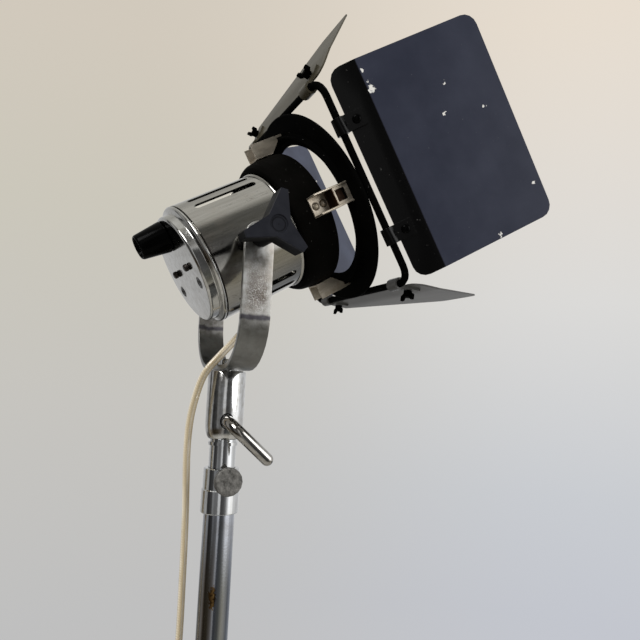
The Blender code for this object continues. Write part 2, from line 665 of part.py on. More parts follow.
def build_tilt_knob(tilt, back, face, bore_end):
    """A moulded knob with three straight-sided lobes, a round boss and a dished centre."""
    axis = empty("tilt_knob_axis", (0, 0, 0), (0, -math.pi / 2, 0), tilt)
    outline = []
    for lobe in range(3):
        angle = KNOB_LOBE_ANGLE + lobe * math.tau / 3
        half_tip = math.asin(KNOB_TIP_WIDTH / 2 / KNOB_TIP_RADIUS)
        for turn, radius in ((-half_tip, KNOB_TIP_RADIUS), (half_tip, KNOB_TIP_RADIUS),
                             (math.pi / 3, KNOB_WAIST_RADIUS)):
            outline.append((radius * math.cos(angle + turn), radius * math.sin(angle + turn)))
    body = prism_mesh([outline], KNOB_THICKNESS)
    tilt_turn = HEAD_TILT - math.pi / 2
    # The outline is drawn as seen from the near side, with X forward and Y up
    forward_up = Matrix(((0, 1, 0, 0), (-1, 0, 0, 0), (0, 0, 1, 0), (0, 0, 0, 1)))
    body.transform(Matrix.Translation((0, 0, face - KNOB_THICKNESS / 2)) @ forward_up
                   @ Matrix.Rotation(-tilt_turn, 4, 'Z'))
    knob = add("tilt_knob", body, black_plastic(), axis)
    shape(knob, 'UNION', turned_mesh(rod_profile(KNOB_DISC_RADIUS + 0.0015, back, face - KNOB_THICKNESS / 2), 20),
          "tilt_knob_boss")
    shape(knob, 'DIFFERENCE', turned_mesh(rod_profile(STUD_RADIUS + GAP, back - 0.001, bore_end), 16),
          "tilt_knob_bore")
    shape(knob, 'DIFFERENCE', turned_mesh(rod_profile(KNOB_DISC_RADIUS, face - 0.0008, face + 0.001), 20),
          "tilt_knob_dish")


def build_can(lamp):
    """The slotted can and the stepped rear cap that closes it."""
    inner = CAN_RADIUS - CAN_WALL
    bead = front_collar_back - GAP
    can = turned("lamp_can", [
        (inner, CAN_BACK), (CAN_RADIUS, CAN_BACK), (CAN_RADIUS, bead - 0.0021),
        (CAN_RADIUS + 0.0007, bead - 0.0016), (CAN_RADIUS + 0.0007, bead - 0.0005), (CAN_RADIUS, bead),
        (CAN_RADIUS, can_front), (inner, can_front)], 28, chrome(), lamp)
    stadium = arc((0, SLOT_LENGTH - SLOT_WIDTH / 2), SLOT_WIDTH / 2, 0, math.pi, 5)
    stadium += arc((0, SLOT_WIDTH / 2), SLOT_WIDTH / 2, math.pi, math.tau, 5)
    slots = []
    for degrees in SLOT_ANGLES:
        slot = prism_mesh([stadium], 6 * CAN_WALL)
        place = (Matrix.Rotation(math.radians(degrees - 90), 4, 'Z')
                 @ Matrix.Translation((0, CAN_RADIUS - CAN_WALL / 2, SLOT_BACK))
                 @ Matrix.Rotation(math.pi / 2, 4, 'X'))
        slots.append((slot, place))
    shape(can, 'DIFFERENCE', joined_mesh(slots), "can_slots")
    shape(can, 'DIFFERENCE', cylinder_along((1, 0, 0), STUD_RADIUS + GAP, -2 * CAN_RADIUS, 2 * CAN_RADIUS),
          "can_pivot_bore").location = (0, -AXIS_RISE, 0)
    shape(can, 'DIFFERENCE', cylinder_along((0, -1, 0), GLAND_RADIUS + GAP, CAN_RADIUS / 2, 2 * CAN_RADIUS),
          "can_gland_bore").location = (0, 0, GLAND_STATION)
    build_cap(lamp)


def build_cap(lamp):
    """A pressed cap: flat face, side band and a bead that laps over the can."""
    face = cap_face
    band = CAN_RADIUS - CAP_STEP
    skirt = CAN_RADIUS - CAN_WALL - GAP
    bead = CAN_BACK - GAP
    wall = CAP_WALL
    cap = turned("rear_cap", [
        (0, face), (band - 0.0010, face), (band, face + 0.0012), (band + 0.0002, bead - 0.0034),
        (CAN_RADIUS - 0.0006, bead - 0.0027), (CAN_RADIUS + 0.0002, bead - 0.0014), (CAN_RADIUS - 0.0002, bead),
        (skirt, bead), (skirt, bead + CAP_LIP), (skirt - wall, bead + CAP_LIP), (skirt - wall, bead - 0.0014),
        (band - wall, bead - 0.0026), (band - wall, face + wall), (0, face + wall)], 28, chrome(), lamp)
    holes = [(turned_mesh(rod_profile(FOCUS_SPINDLE_RADIUS + GAP, -0.005, 0.005), 16),
              Matrix.Translation((0, FOCUS_KNOB_RISE, face)))]
    for side in (-1, 1):
        holes.append((turned_mesh(rod_profile(GUIDE_RADIUS + GAP, -0.005, 0.005), 12),
                      Matrix.Translation((side * GUIDE_SPREAD, 0, face))))
        holes.append((turned_mesh(rod_profile(RIVET_RADIUS, -0.005, wall / 3), 16),
                      Matrix.Translation((side * RIVET_SPREAD, -RIVET_DROP, face))))
    shape(cap, 'DIFFERENCE', joined_mesh(holes), "cap_holes")


def build_focus(lamp):
    """The rear knob's spindle drives a carriage on two guide rods, with holder, bulb and reflector."""
    face = cap_face - GAP
    tip = carriage_station + 0.009
    end = face - FOCUS_KNOB_LENGTH
    knob_axis = empty("focus_knob_axis", (0, FOCUS_KNOB_RISE, 0), parent=lamp)
    turned("focus_knob", [
        (0, tip), (FOCUS_SPINDLE_RADIUS, tip), (FOCUS_SPINDLE_RADIUS, face), (FOCUS_KNOB_BASE - 0.0004, face),
        (FOCUS_KNOB_BASE, face - 0.0006), (FOCUS_KNOB_BASE - 0.0002, face - 0.0035),
        (FOCUS_KNOB_BASE - 0.0006, face - 0.004), (FOCUS_KNOB_END, end + 0.001), (FOCUS_KNOB_END - 0.0006, end),
        (FOCUS_KNOB_END - 0.0013, end), (FOCUS_KNOB_END - 0.0022, end + 0.0030), (0, end + 0.0030)],
        20, black_plastic(), knob_axis)
    for name, side in (("near", -1), ("far", 1)):
        turned("guide_rod_" + name, [
            (0, tip - 0.004), (GUIDE_RADIUS, tip - 0.004), (GUIDE_RADIUS, face), (GUIDE_HEAD_RADIUS, face),
            (GUIDE_HEAD_RADIUS, face - 0.0018), (GUIDE_HEAD_RADIUS - 0.0006, face - 0.0024), (0, face - 0.0024)],
            12, black_plastic(), lamp, (side * GUIDE_SPREAD, 0, 0))
    sled = empty("carriage_frame", (0, 0, 0), parent=lamp)
    back = carriage_station - CARRIAGE_THICKNESS
    rim = CAN_RADIUS - CAN_WALL - 0.004
    plate = turned("focus_carriage", rod_profile(rim, back, carriage_station), 20, chrome(), sled)
    holes = [(turned_mesh(rod_profile(FOCUS_SPINDLE_RADIUS + GAP, back - 0.002, carriage_station + 0.002), 16),
              Matrix.Translation((0, FOCUS_KNOB_RISE, 0)))]
    for side in (-1, 1):
        holes.append((turned_mesh(rod_profile(GUIDE_RADIUS + GAP, back - 0.002, carriage_station + 0.002), 12),
                      Matrix.Translation((side * GUIDE_SPREAD, 0, 0))))
    shape(plate, 'DIFFERENCE', joined_mesh(holes), "carriage_holes")
    build_lamp_unit(sled)


def build_lamp_unit(sled):
    """Lamp holder, bulb and dished reflector, carried on the carriage."""
    base = carriage_station + GAP
    mouth = base + HOLDER_LENGTH
    cup = HOLDER_RADIUS - 0.002
    turned("lamp_holder", [
        (0, base), (HOLDER_RADIUS, base), (HOLDER_RADIUS, mouth), (cup, mouth), (cup, base + 0.004),
        (0, base + 0.004)], 16, material("ceramic", "E4E0D6", 0.5, 0.0), sled)
    seat = base + 0.004 + GAP
    stem = cup - GAP
    globe = seat + BULB_LENGTH - BULB_RADIUS
    glass = [(BULB_RADIUS * math.cos(a), globe + BULB_RADIUS * math.sin(a)) for a in
             [math.radians(22.5 * i - 45) for i in range(6)]]
    turned("bulb", [(0, seat), (stem, seat), (stem, mouth + 0.001)] + glass + [(0, globe + BULB_RADIUS)],
           16, material("bulb_glass", "F2F0EA", 0.05, 0.0), sled)
    inner = HOLDER_RADIUS + GAP
    outer = FOCUS_KNOB_RISE - FOCUS_SPINDLE_RADIUS - 0.0006
    sweep = [math.radians(15 * i) for i in range(5)]
    depth = 0.009
    bowl = [(inner + (outer - inner) * math.sin(a) / math.sin(sweep[-1]),
             mouth - 0.003 + depth * (1 - math.cos(a)) / (1 - math.cos(sweep[-1]))) for a in sweep]
    turned("reflector", bowl + [(radius - 0.0005, station + 0.001) for radius, station in reversed(bowl[1:])]
           + [(inner, mouth - 0.002)], 20, chrome(), sled)


def build_front_collar(lamp):
    """The black cast collar, the stepped lens seated in it and the lens's retaining ring."""
    bore = CAN_RADIUS + GAP
    seat = LENS_RADIUS + GAP
    mouth = seat + 0.001
    outer = front_collar_radius
    back = front_collar_back
    front = front_collar_front
    lens_front = lens_back + LENS_EDGE
    shoulder = lens_back - GAP
    turned("front_collar", [
        (bore, back), (outer - 0.0023, back), (outer - 0.0008, back + 0.0026), (outer - 0.0002, back + 0.0065),
        (outer, back + 0.0071), (outer, front - 0.0010), (outer - 0.0007, front), (mouth, front),
        (mouth, lens_front + GAP), (seat, lens_front + GAP), (seat, shoulder), (CAN_RADIUS - 0.0014, shoulder),
        (CAN_RADIUS - 0.0014, can_front + GAP), (bore, can_front + GAP)], 28, black_paint(), lamp)
    dome = []
    zones = 3
    for zone in range(zones):
        radius = (LENS_RADIUS - 0.004) * (1 - zone / zones)
        dome += [(radius, lens_front), (radius - 0.002, lens_front + LENS_DOME * 0.4)]
    turned("lens", [(0, lens_back), (LENS_RADIUS, lens_back), (LENS_RADIUS, lens_front)] + dome
           + [(0, lens_front + LENS_DOME)], 28, material("lens_glass", "DDE6E8", 0.05, 0.0), lamp)
    ring_seat = lens_front + 2 * GAP
    turned("lens_ring", tube_profile(mouth - GAP, LENS_RADIUS - 0.0025, ring_seat, ring_seat + LENS_RING_THICKNESS),
           28, black_paint(), lamp)


def build_clips(lamp):
    """Four sprung channels riveted to the collar. The floor steps up to a plate with a window, whose
    tip lies over the ring's lip."""
    half = CLIP_WIDTH / 2
    sheet = CLIP_SHEET
    seat_end = clip_back + CLIP_SEAT_LENGTH
    wall_end = lip_back - GAP
    floor = [(clip_seat, clip_back), (clip_seat, seat_end), (clip_strap, seat_end + sheet),
             (clip_strap, clip_front), (clip_strap + sheet, clip_front), (clip_strap + sheet, seat_end),
             (clip_seat + sheet, seat_end - sheet), (clip_seat + sheet, clip_back)]
    wall = [(clip_seat, clip_back), (clip_seat, seat_end), (clip_strap - 2 * sheet, wall_end),
            (clip_strap, wall_end), (clip_strap, clip_front), (clip_edge, clip_front), (clip_edge, clip_back)]
    sideways = Matrix(((0, 0, 1, 0), (1, 0, 0, 0), (0, 1, 0, 0), (0, 0, 0, 1)))
    bent = prism_mesh([floor], CLIP_WIDTH - sheet)
    bent.transform(sideways)
    walls = [(prism_mesh([wall], sheet), Matrix.Translation((side * (half - sheet / 2), 0, 0)) @ sideways)
             for side in (-1, 1)]
    window = prism_mesh([[(-0.0036, seat_end + 0.0018), (0.0036, seat_end + 0.0018),
                          (0.0036, clip_front - 0.0028), (-0.0036, clip_front - 0.0028)]], 3 * sheet)
    window.transform(Matrix.Translation((0, clip_strap, 0)) @ Matrix.Rotation(math.pi / 2, 4, 'X'))
    first = add("spring_clip_top", bent, chrome(), lamp)
    tools = {"clip_walls": shape(first, 'UNION', joined_mesh(walls), "clip_walls"),
             "clip_window": shape(first, 'DIFFERENCE', window, "clip_window")}
    for name in ("near", "bottom", "far"):
        turn = (0, 0, math.radians(LEAVES[name][1]))
        twin = copy_of(first, "spring_clip_" + name, lamp, rotation=turn)
        for step, tool in tools.items():
            twin.modifiers[step].object = copy_of(tool, step + "_" + name, lamp, rotation=turn)


def build_ring(doors):
    """The barn-door ring with its lip, and the square rod frame on its front."""
    turned("barn_ring", [
        (ring_inner, ring_back), (lip_inner, ring_back), (lip_inner, ring_back - RING_LIP_HEIGHT + 0.0006),
        (lip_inner + RING_LIP_WALL / 2, ring_back - RING_LIP_HEIGHT),
        (lip_inner + RING_LIP_WALL, ring_back - RING_LIP_HEIGHT + 0.0006),
        (lip_inner + RING_LIP_WALL, ring_back), (ring_outer - 0.0008, ring_back),
        (ring_outer, ring_back + 0.0008), (ring_outer, ring_front - 0.0008), (ring_outer - 0.0008, ring_front),
        (ring_inner + 0.0008, ring_front), (ring_inner, ring_front - 0.0008)], 32, black_paint(), doors)
    inset = door_half - ROD_CORNER
    loop = []
    for quarter in range(4):
        start = quarter * math.pi / 2
        centre = (inset * math.sqrt(2) * math.cos(start + math.pi / 4),
                  inset * math.sqrt(2) * math.sin(start + math.pi / 4))
        loop += arc(centre, ROD_CORNER, start, start + math.pi / 2, 6)
    wire("rod_frame", [(x, y, door_station) for x, y in loop], ROD_RADIUS, black_paint(), 2, doors, closed=True)


def leaf_sheet(half, panel, edge_half):
    """A leaf in its hinge frame: X along the hinge, Z away from it, Y outward. The hinge strip is
    folded outward from the panel."""
    corner = LEAF_CORNER
    fold = LEAF_STRIP
    tip = fold + panel
    slope = math.atan2(half - edge_half, panel)
    tip_corner = min(corner, edge_half / 2)
    hinge_side = arc((half - corner, LEAF_HINGE_GAP + corner), corner, -math.pi / 2, 0, 5)
    # The tip's corner is tangent to the sloping edge and to the tip
    centre = (edge_half + tip_corner * math.tan(slope) - tip_corner / math.cos(slope), tip - tip_corner)
    tip_side = arc(centre, tip_corner, slope, math.pi / 2, 5)
    bm = bmesh.new()

    def bent(x, depth):
        if depth <= fold:
            return bm.verts.new((x, depth * math.sin(LEAF_FOLD), depth * math.cos(LEAF_FOLD)))
        return bm.verts.new((x, fold * math.sin(LEAF_FOLD), fold * math.cos(LEAF_FOLD) + depth - fold))

    right, left = bent(half, fold), bent(-half, fold)
    strip = [bent(-x, z) for x, z in reversed(hinge_side)] + [bent(x, z) for x, z in hinge_side]
    bm.faces.new([left] + strip + [right])
    outer = [bent(x, z) for x, z in tip_side] + [bent(-x, z) for x, z in reversed(tip_side)]
    bm.faces.new([left, right] + outer)
    return bm


def clamp_mesh(offset):
    """A strap clamp bent round the rod, with its tail laid on the leaf's outer face."""
    outer = ROD_RADIUS + GAP + CLAMP_STRAP
    low = LEAF_SHEET / 2 - 0.0002
    high = low + CLAMP_STRAP + 0.0002
    start = math.asin(high / outer)
    outline = [(CLAMP_TAIL, low), (CLAMP_TAIL, high)]
    outline += arc((0, 0), outer, start, math.tau + math.asin(low / outer), 12)
    hole = list(reversed(arc((0, 0), ROD_RADIUS + GAP, 0, math.tau * 11 / 12, 12)))
    bm = prism_mesh([outline, hole], CLAMP_LENGTH)
    across = Matrix(((0, 0, 1, offset), (0, 1, 0, 0), (1, 0, 0, 0), (0, 0, 0, 1)))
    bm.transform(Matrix.Rotation(-LEAF_FOLD, 4, 'X') @ across)
    return bm


def build_leaves(doors):
    """Four leaves that swing on the rod frame; the narrow pair has wing screws on its clamps."""
    wing = None
    for name, (opening, turn) in LEAVES.items():
        narrow = name in ("top", "bottom")
        panel = NARROW_LEAF_PANEL if narrow else WIDE_LEAF_PANEL
        half = narrow_leaf_half if narrow else wide_leaf_half
        edge = NARROW_LEAF_EDGE / 2 if narrow else half
        offset = NARROW_CLAMP_OFFSET if narrow else WIDE_CLAMP_OFFSET
        side = empty("leaf_" + name + "_side", (0, 0, 0), (0, 0, math.radians(turn)), doors)
        hinge = empty("leaf_" + name + "_axis", (0, door_half, door_station),
                      (math.radians(-opening), 0, 0), side)
        leaf = add("leaf_" + name, leaf_sheet(half, panel, edge), black_paint(), hinge)
        sheet = leaf.modifiers.new("sheet_thickness", 'SOLIDIFY')
        sheet.thickness = LEAF_SHEET
        sheet.offset = 0
        sheet.use_even_offset = True
        pair = joined_mesh([(clamp_mesh(offset), Matrix.Identity(4)), (clamp_mesh(-offset), Matrix.Identity(4))])
        shape(leaf, 'UNION', pair, "leaf_" + name + "_clamps")
        if narrow:
            for hand, x in (("near", -offset), ("far", offset)):
                hand = hand if name == "top" else {"near": "far", "far": "near"}[hand]
                label = "wing_screw_" + name + "_" + hand
                wing = build_wing_screw(label, wing, hinge, x)


def build_wing_screw(name, made, hinge, x):
    """A small wing screw that tightens one clamp; all share one mesh."""
    distance = (ROD_RADIUS + CLAMP_STRAP + CLAMP_TAIL) / 2
    seat = LEAF_SHEET / 2 + CLAMP_STRAP + GAP
    turn = Matrix.Rotation(-LEAF_FOLD, 4, 'X')
    spot = turn @ Vector((x, seat, distance))
    axis = empty(name + "_axis", spot, (-LEAF_FOLD - math.pi / 2, 0, 0), hinge)
    if made is not None:
        twin = copy_of(made, name, axis)
        twin.modifiers["wings"].object = copy_of(made.modifiers["wings"].object, name + "_wings", axis)
        return made
    screw = turned(name, rod_profile(0.0026, 0, 0.0042), 12, black_paint(), axis)
    half = WING_SPAN / 2
    outline = [(-0.0020, 0.0008), (0.0020, 0.0008), (half, WING_HEIGHT * 0.45), (half, WING_HEIGHT),
               (half * 0.66, WING_HEIGHT), (0.0022, 0.0034), (-0.0022, 0.0034), (-half * 0.66, WING_HEIGHT),
               (-half, WING_HEIGHT), (-half, WING_HEIGHT * 0.45)]
    blade = prism_mesh([outline], 0.0015)
    blade.transform(Matrix.Rotation(math.pi / 2, 4, 'X'))
    shape(screw, 'UNION', blade, "wings")
    return screw


def head_point(side, rise, station):
    """A point of the lamp head in the stand's frame, with the head at its tilt."""
    up = rise + AXIS_RISE
    forward = math.cos(HEAD_TILT) * station - math.sin(HEAD_TILT) * up
    height = math.sin(HEAD_TILT) * station + math.cos(HEAD_TILT) * up
    return Vector((side, -forward, pivot_height + height))


def build_flex(stand, pan, riser, lamp):
    """The gland, the flex down the stand, its coil on the floor behind the column and its plug."""
    wall = CAN_RADIUS - CAN_WALL - 0.0015
    outside = CAN_RADIUS + GAP
    turned("cord_gland", [
        (CORD_RADIUS + GAP, wall), (GLAND_RADIUS, wall), (GLAND_RADIUS, outside),
        (GLAND_RADIUS + 0.0016, outside), (GLAND_RADIUS + 0.0010, outside + GLAND_FLANGE),
        (CORD_RADIUS + GAP, outside + GLAND_FLANGE)], 16, rubber(), lamp,
        (0, 0, GLAND_STATION), (math.pi / 2, 0, 0))
    # Heights below are measured down from the tilt axis
    exit_depth = -(outside + GLAND_FLANGE + GAP)
    leaving = head_point(0, exit_depth, GLAND_STATION)
    below = head_point(0, exit_depth - 0.008, GLAND_STATION)
    top = pivot_height
    head_route = [leaving, below, (-0.0048, -0.0075, top - 0.0500), (-0.0062, 0.0010, top - 0.0590),
                  (-0.0072, 0.0085, top - 0.0673), (-0.0068, 0.0146, top - 0.0750),
                  (-0.0045, 0.0182, top - 0.0850), (0, 0.0207, top - 0.1020), (0.0020, 0.0212, top - 0.1200)]
    twist_route = [(0.0020, 0.0212, top - 0.1206), (0.0034, 0.0202, top - 0.1400), (0.0050, 0.0188, top - 0.1650),
                   (0.0066, 0.0178, top - 0.2000), (0.0074, 0.0174, top - 0.2400), (0.0080, 0.0185, top - 0.3300)]
    knot = twist_route[-1]
    drop_route = [(knot[0], knot[1], knot[2] - 0.0006), (0.0080, 0.0200, top - 0.4200),
                  (0.0060, 0.0250, top - 0.6000), (0.0040, 0.0310, top - 0.8000),
                  (0.0040, 0.0360, top - 0.9800), (0.0050, 0.0420, top - 1.1000), (0.0080, 0.0560, 0.0450),
                  (0.0130, 0.0840, 0.0110), (0.0160, 0.1150, 0.0032), (0.0160, 0.1480, 0.0032),
                  (0.0160, 0.1800, 0.0032)]
    wire("cord_head", smooth_line(head_route, 0.007), CORD_RADIUS, flex(), 2, pan)
    wire("cord_twist", smooth_line(twist_route, 0.014), CORD_RADIUS, flex(), 2, riser)
    wire("cord_drop", smooth_line(drop_route, 0.026), CORD_RADIUS, flex(), 2, stand)
    # The flex runs into the coil along the coil's side
    band = COIL_THICKNESS / 2
    centre = Vector(drop_route[-1]) - Vector((COIL_RADIUS + band + CORD_RADIUS + GAP, 0, 0))
    ring = [(COIL_RADIUS + band * math.cos(a), band + 0.0004 + band * math.sin(a)) for a in
            [math.tau * i / 8 for i in range(8)]]
    turned("cord_coil", ring, 20, flex(), stand, (centre.x, centre.y, 0))
    build_plug(stand, centre)


def build_plug(stand, coil_centre):
    """A flat two-blade plug lying beside the coil, in line with the side of its last turn."""
    outside = COIL_RADIUS + COIL_THICKNESS / 2
    reach = COIL_RADIUS + CORD_RADIUS
    ahead = math.sqrt(outside ** 2 - (reach - PLUG_WIDTH / 2) ** 2) + FACE_GAP
    shell = [(0, -0.3), (0.16, -0.42), (0.62, -0.5), (1, -0.42), (1, 0.42), (0.62, 0.5), (0.16, 0.42), (0, 0.3)]
    outline = [(x * PLUG_LENGTH, y * PLUG_WIDTH) for x, y in shell]
    body = prism_mesh([outline], PLUG_HEIGHT)
    lift = PLUG_HEIGHT / 2 + 0.0004
    plug = add("plug", body, black_plastic(), stand,
               (coil_centre.x - reach, coil_centre.y - ahead, lift), (0, 0, -math.pi / 2))
    blades = []
    for side in (-1, 1):
        blade = prism_mesh([[(PLUG_LENGTH - 0.004, -0.00075), (PLUG_LENGTH + PIN_BLADE_LENGTH, -0.00075),
                             (PLUG_LENGTH + PIN_BLADE_LENGTH, 0.00075), (PLUG_LENGTH - 0.004, 0.00075)]], 0.0063)
        blades.append((blade, Matrix.Translation((0, side * 0.00635, 0))))
    shape(plug, 'UNION', joined_mesh(blades), "plug_blades")


def build_lamp():
    """Every sub-part, each under the frame of the body that carries it."""
    clear_scene()
    stand = empty("stand_frame", (0, column_y, 0))
    build_column(stand)
    build_riser(stand)
    riser = bpy.data.objects["riser_frame"]
    build_tripod(stand)
    pan = empty("pan_frame", (0, 0, 0), parent=riser)
    build_socket(pan)
    build_yoke(pan)
    tilt = empty("tilt_frame", (0, 0, pivot_height), (math.pi / 2 - HEAD_TILT, 0, 0), pan)
    lamp = empty("lamp_frame", (0, AXIS_RISE, 0), parent=tilt)
    build_tilt_hardware(tilt)
    build_can(lamp)
    build_focus(lamp)
    build_front_collar(lamp)
    build_clips(lamp)
    doors = empty("door_frame", (0, 0, 0), parent=lamp)
    build_ring(doors)
    build_leaves(doors)
    build_flex(stand, pan, riser, lamp)


build_lamp()
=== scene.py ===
"""Looks of the spotlight floor lamp: a pitted chrome lamp head with four black barn doors, held in a
strap yoke on a telescopic chrome column, with its flat clear flex coiled behind the tripod."""
import bpy
import bmesh
import math
from mathutils import Matrix, Vector


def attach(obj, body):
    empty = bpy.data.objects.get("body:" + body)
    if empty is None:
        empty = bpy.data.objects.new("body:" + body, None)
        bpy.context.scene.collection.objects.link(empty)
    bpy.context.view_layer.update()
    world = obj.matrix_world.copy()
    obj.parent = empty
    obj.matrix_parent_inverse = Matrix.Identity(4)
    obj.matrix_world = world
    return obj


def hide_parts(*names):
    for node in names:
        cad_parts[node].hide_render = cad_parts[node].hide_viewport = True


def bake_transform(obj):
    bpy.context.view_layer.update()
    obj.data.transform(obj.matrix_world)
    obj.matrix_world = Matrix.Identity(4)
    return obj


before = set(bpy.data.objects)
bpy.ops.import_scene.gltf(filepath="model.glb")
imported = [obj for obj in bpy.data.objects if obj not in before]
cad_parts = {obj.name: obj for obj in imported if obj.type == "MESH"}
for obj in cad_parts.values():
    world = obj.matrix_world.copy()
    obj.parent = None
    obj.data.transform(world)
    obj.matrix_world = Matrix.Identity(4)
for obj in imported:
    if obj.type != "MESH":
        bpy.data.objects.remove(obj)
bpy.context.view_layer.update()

# Camera: the photograph's place, close to the lamp on its tilt-knob side and a little below its
# axis, looking slightly up along the doors. A 32.6 mm lens on a 36 mm sensor.
camera_data = bpy.data.cameras.new("camera")
camera_data.sensor_width = 36
camera_data.lens = 32.625
camera_data.clip_start = 0.01
camera = bpy.data.objects.new("camera", camera_data)
bpy.context.scene.collection.objects.link(camera)
camera.matrix_world = Matrix((
    (-0.421934, -0.0753395, -0.9034908, -0.347967),
    (-0.905583, 0.0828211, 0.4160050, 0.186205),
    (0.0434865, 0.9937125, -0.1031712, 1.156945),
    (0, 0, 0, 1)))
bpy.context.scene.camera = camera

# Flex: flat twin flex, 5.6 mm wide, two stranded copper cores in clear PVC that has turned golden.
# It leaves a gland under the can, runs down behind the stand and ends in a tied coil and a plug.
COLUMN_Y = 0.0869597
PIVOT_HEIGHT = 1.2346
TILT = math.radians(30.8)
FLEX_WIDTH = 0.0056
FLEX_THICKNESS = 0.0029


def head_point(side, rise, station):
    """A place on the lamp head, measured across, up and forward along its axis, in the room's frame."""
    up = rise + 0.0025
    return Vector((side, COLUMN_Y - math.cos(TILT) * station + math.sin(TILT) * up,
                   PIVOT_HEIGHT + math.sin(TILT) * station + math.cos(TILT) * up))


def linear(code):
    """An sRGB hex colour as Blender's linear colour."""
    parts = [int(code[i:i + 2], 16) / 255 for i in (1, 3, 5)]
    return tuple(c / 12.92 if c <= 0.04045 else ((c + 0.055) / 1.055) ** 2.4 for c in parts) + (1.0,)


def add_node(tree, kind, settings, inputs):
    """One shader node with its settings and its inputs, each a value or another node's output."""
    node = tree.nodes.new("ShaderNode" + kind)
    for key, value in settings.items():
        if key == "stops":
            elements = node.color_ramp.elements
            elements[0].position, elements[1].position = value[0][0], value[-1][0]
            for position, _ in value[1:-1]:
                elements.new(position)
            for element, (_, colour) in zip(elements, value):
                element.color = linear(colour) if isinstance(colour, str) else (colour,) * 3 + (1,)
        else:
            setattr(node, key, value)
    for key, value in inputs.items():
        if isinstance(value, bpy.types.NodeSocket):
            tree.links.new(value, node.inputs[key])
        else:
            node.inputs[key].default_value = value
    return node


def new_finish(name):
    """An empty material: its tree and its Principled shader."""
    material = bpy.data.materials.new(name)
    material.use_nodes = True
    return material, material.node_tree, material.node_tree.nodes["Principled BSDF"]


def finished(name, mesh, finish, body=None, smooth=True):
    """A shown piece from a bmesh or mesh, in place, closed and pointing outwards."""
    if isinstance(mesh, bmesh.types.BMesh):
        bmesh.ops.remove_doubles(mesh, verts=mesh.verts, dist=0.000002)
        bmesh.ops.recalc_face_normals(mesh, faces=mesh.faces)
        data = bpy.data.meshes.new(name)
        mesh.to_mesh(data)
        mesh.free()
    else:
        data = mesh
    data.materials.clear()
    if finish:
        data.materials.append(finish)
    for face in data.polygons:
        face.use_smooth = smooth
    piece = bpy.data.objects.new(name, data)
    bpy.context.scene.collection.objects.link(piece)
    if body:
        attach(piece, body)
    return piece


def clear_flex():
    """Clear PVC, yellowed, over stranded copper: a glossy skin, tan over the metal and pale where the
    skin is thick. The real 0.2 mm strands are too fine to show, so their lay is drawn 1.5 mm long."""
    finish, tree, shader = new_finish("clear_pvc_flex")
    place = add_node(tree, "UVMap", {"uv_map": "run"}, {})
    split = add_node(tree, "SeparateXYZ", {}, {"Vector": place.outputs["UV"]})
    core = add_node(tree, "Math", {"operation": "PINGPONG"}, {0: split.outputs["Y"], 1: 0.25})
    along = add_node(tree, "Math", {"operation": "MULTIPLY"}, {0: split.outputs["X"], 1: 4200.0})
    lay = add_node(tree, "Math", {"operation": "MULTIPLY_ADD"}, {0: core.outputs[0], 1: 22.0, 2: along.outputs[0]})
    strand = add_node(tree, "Math", {"operation": "SINE"}, {0: lay.outputs[0]})
    patch = add_node(tree, "TexNoise", {}, {
        "Vector": add_node(tree, "TexCoord", {}, {}).outputs["Object"], "Scale": 45.0, "Detail": 3.0})
    depth = add_node(tree, "Math", {"operation": "MULTIPLY_ADD"}, {0: core.outputs[0], 1: 3.1, 2: 0.0})
    shade = add_node(tree, "Math", {"operation": "MULTIPLY_ADD"}, {0: strand.outputs[0], 1: 0.05, 2: depth.outputs[0]})
    mottled = add_node(tree, "Math", {"operation": "MULTIPLY_ADD"},
                       {0: patch.outputs["Fac"], 1: 0.35, 2: shade.outputs[0]})
    metal = add_node(tree, "ValToRGB", {"stops": [
        (0.10, "#efeade"), (0.34, "#cfc3ac"), (0.60, "#ab9a7a"), (0.85, "#c6b99f"), (1.0, "#e4dccc")]},
        {"Fac": mottled.outputs[0]})
    tree.links.new(metal.outputs["Color"], shader.inputs["Base Color"])
    shader.inputs["Roughness"].default_value = 0.25
    shader.inputs["Coat Weight"].default_value = 1.0
    shader.inputs["Coat Roughness"].default_value = 0.05
    bump = add_node(tree, "Bump", {}, {"Height": strand.outputs[0], "Strength": 0.05, "Distance": 0.0001})
    tree.links.new(bump.outputs["Normal"], shader.inputs["Normal"])
    return finish


def smooth_stations(points, spacings):
    """Points on one smooth curve through the given ones, as one list for each stretch between two."""
    guide = [points[0] * 2 - points[1]] + points + [points[-1] * 2 - points[-2]]
    stretches = []
    for a, b, c, d, spacing in zip(guide, guide[1:], guide[2:], guide[3:], spacings):
        count = max(1, round((c - b).length / spacing))
        stretches.append([0.5 * (2 * b + (c - a) * t + (2 * a - 5 * b + 4 * c - d) * t * t
                                 + (3 * b - a - 3 * c + d) * t ** 3)
                          for t in [k / count for k in range(count + 1)]])
    return stretches


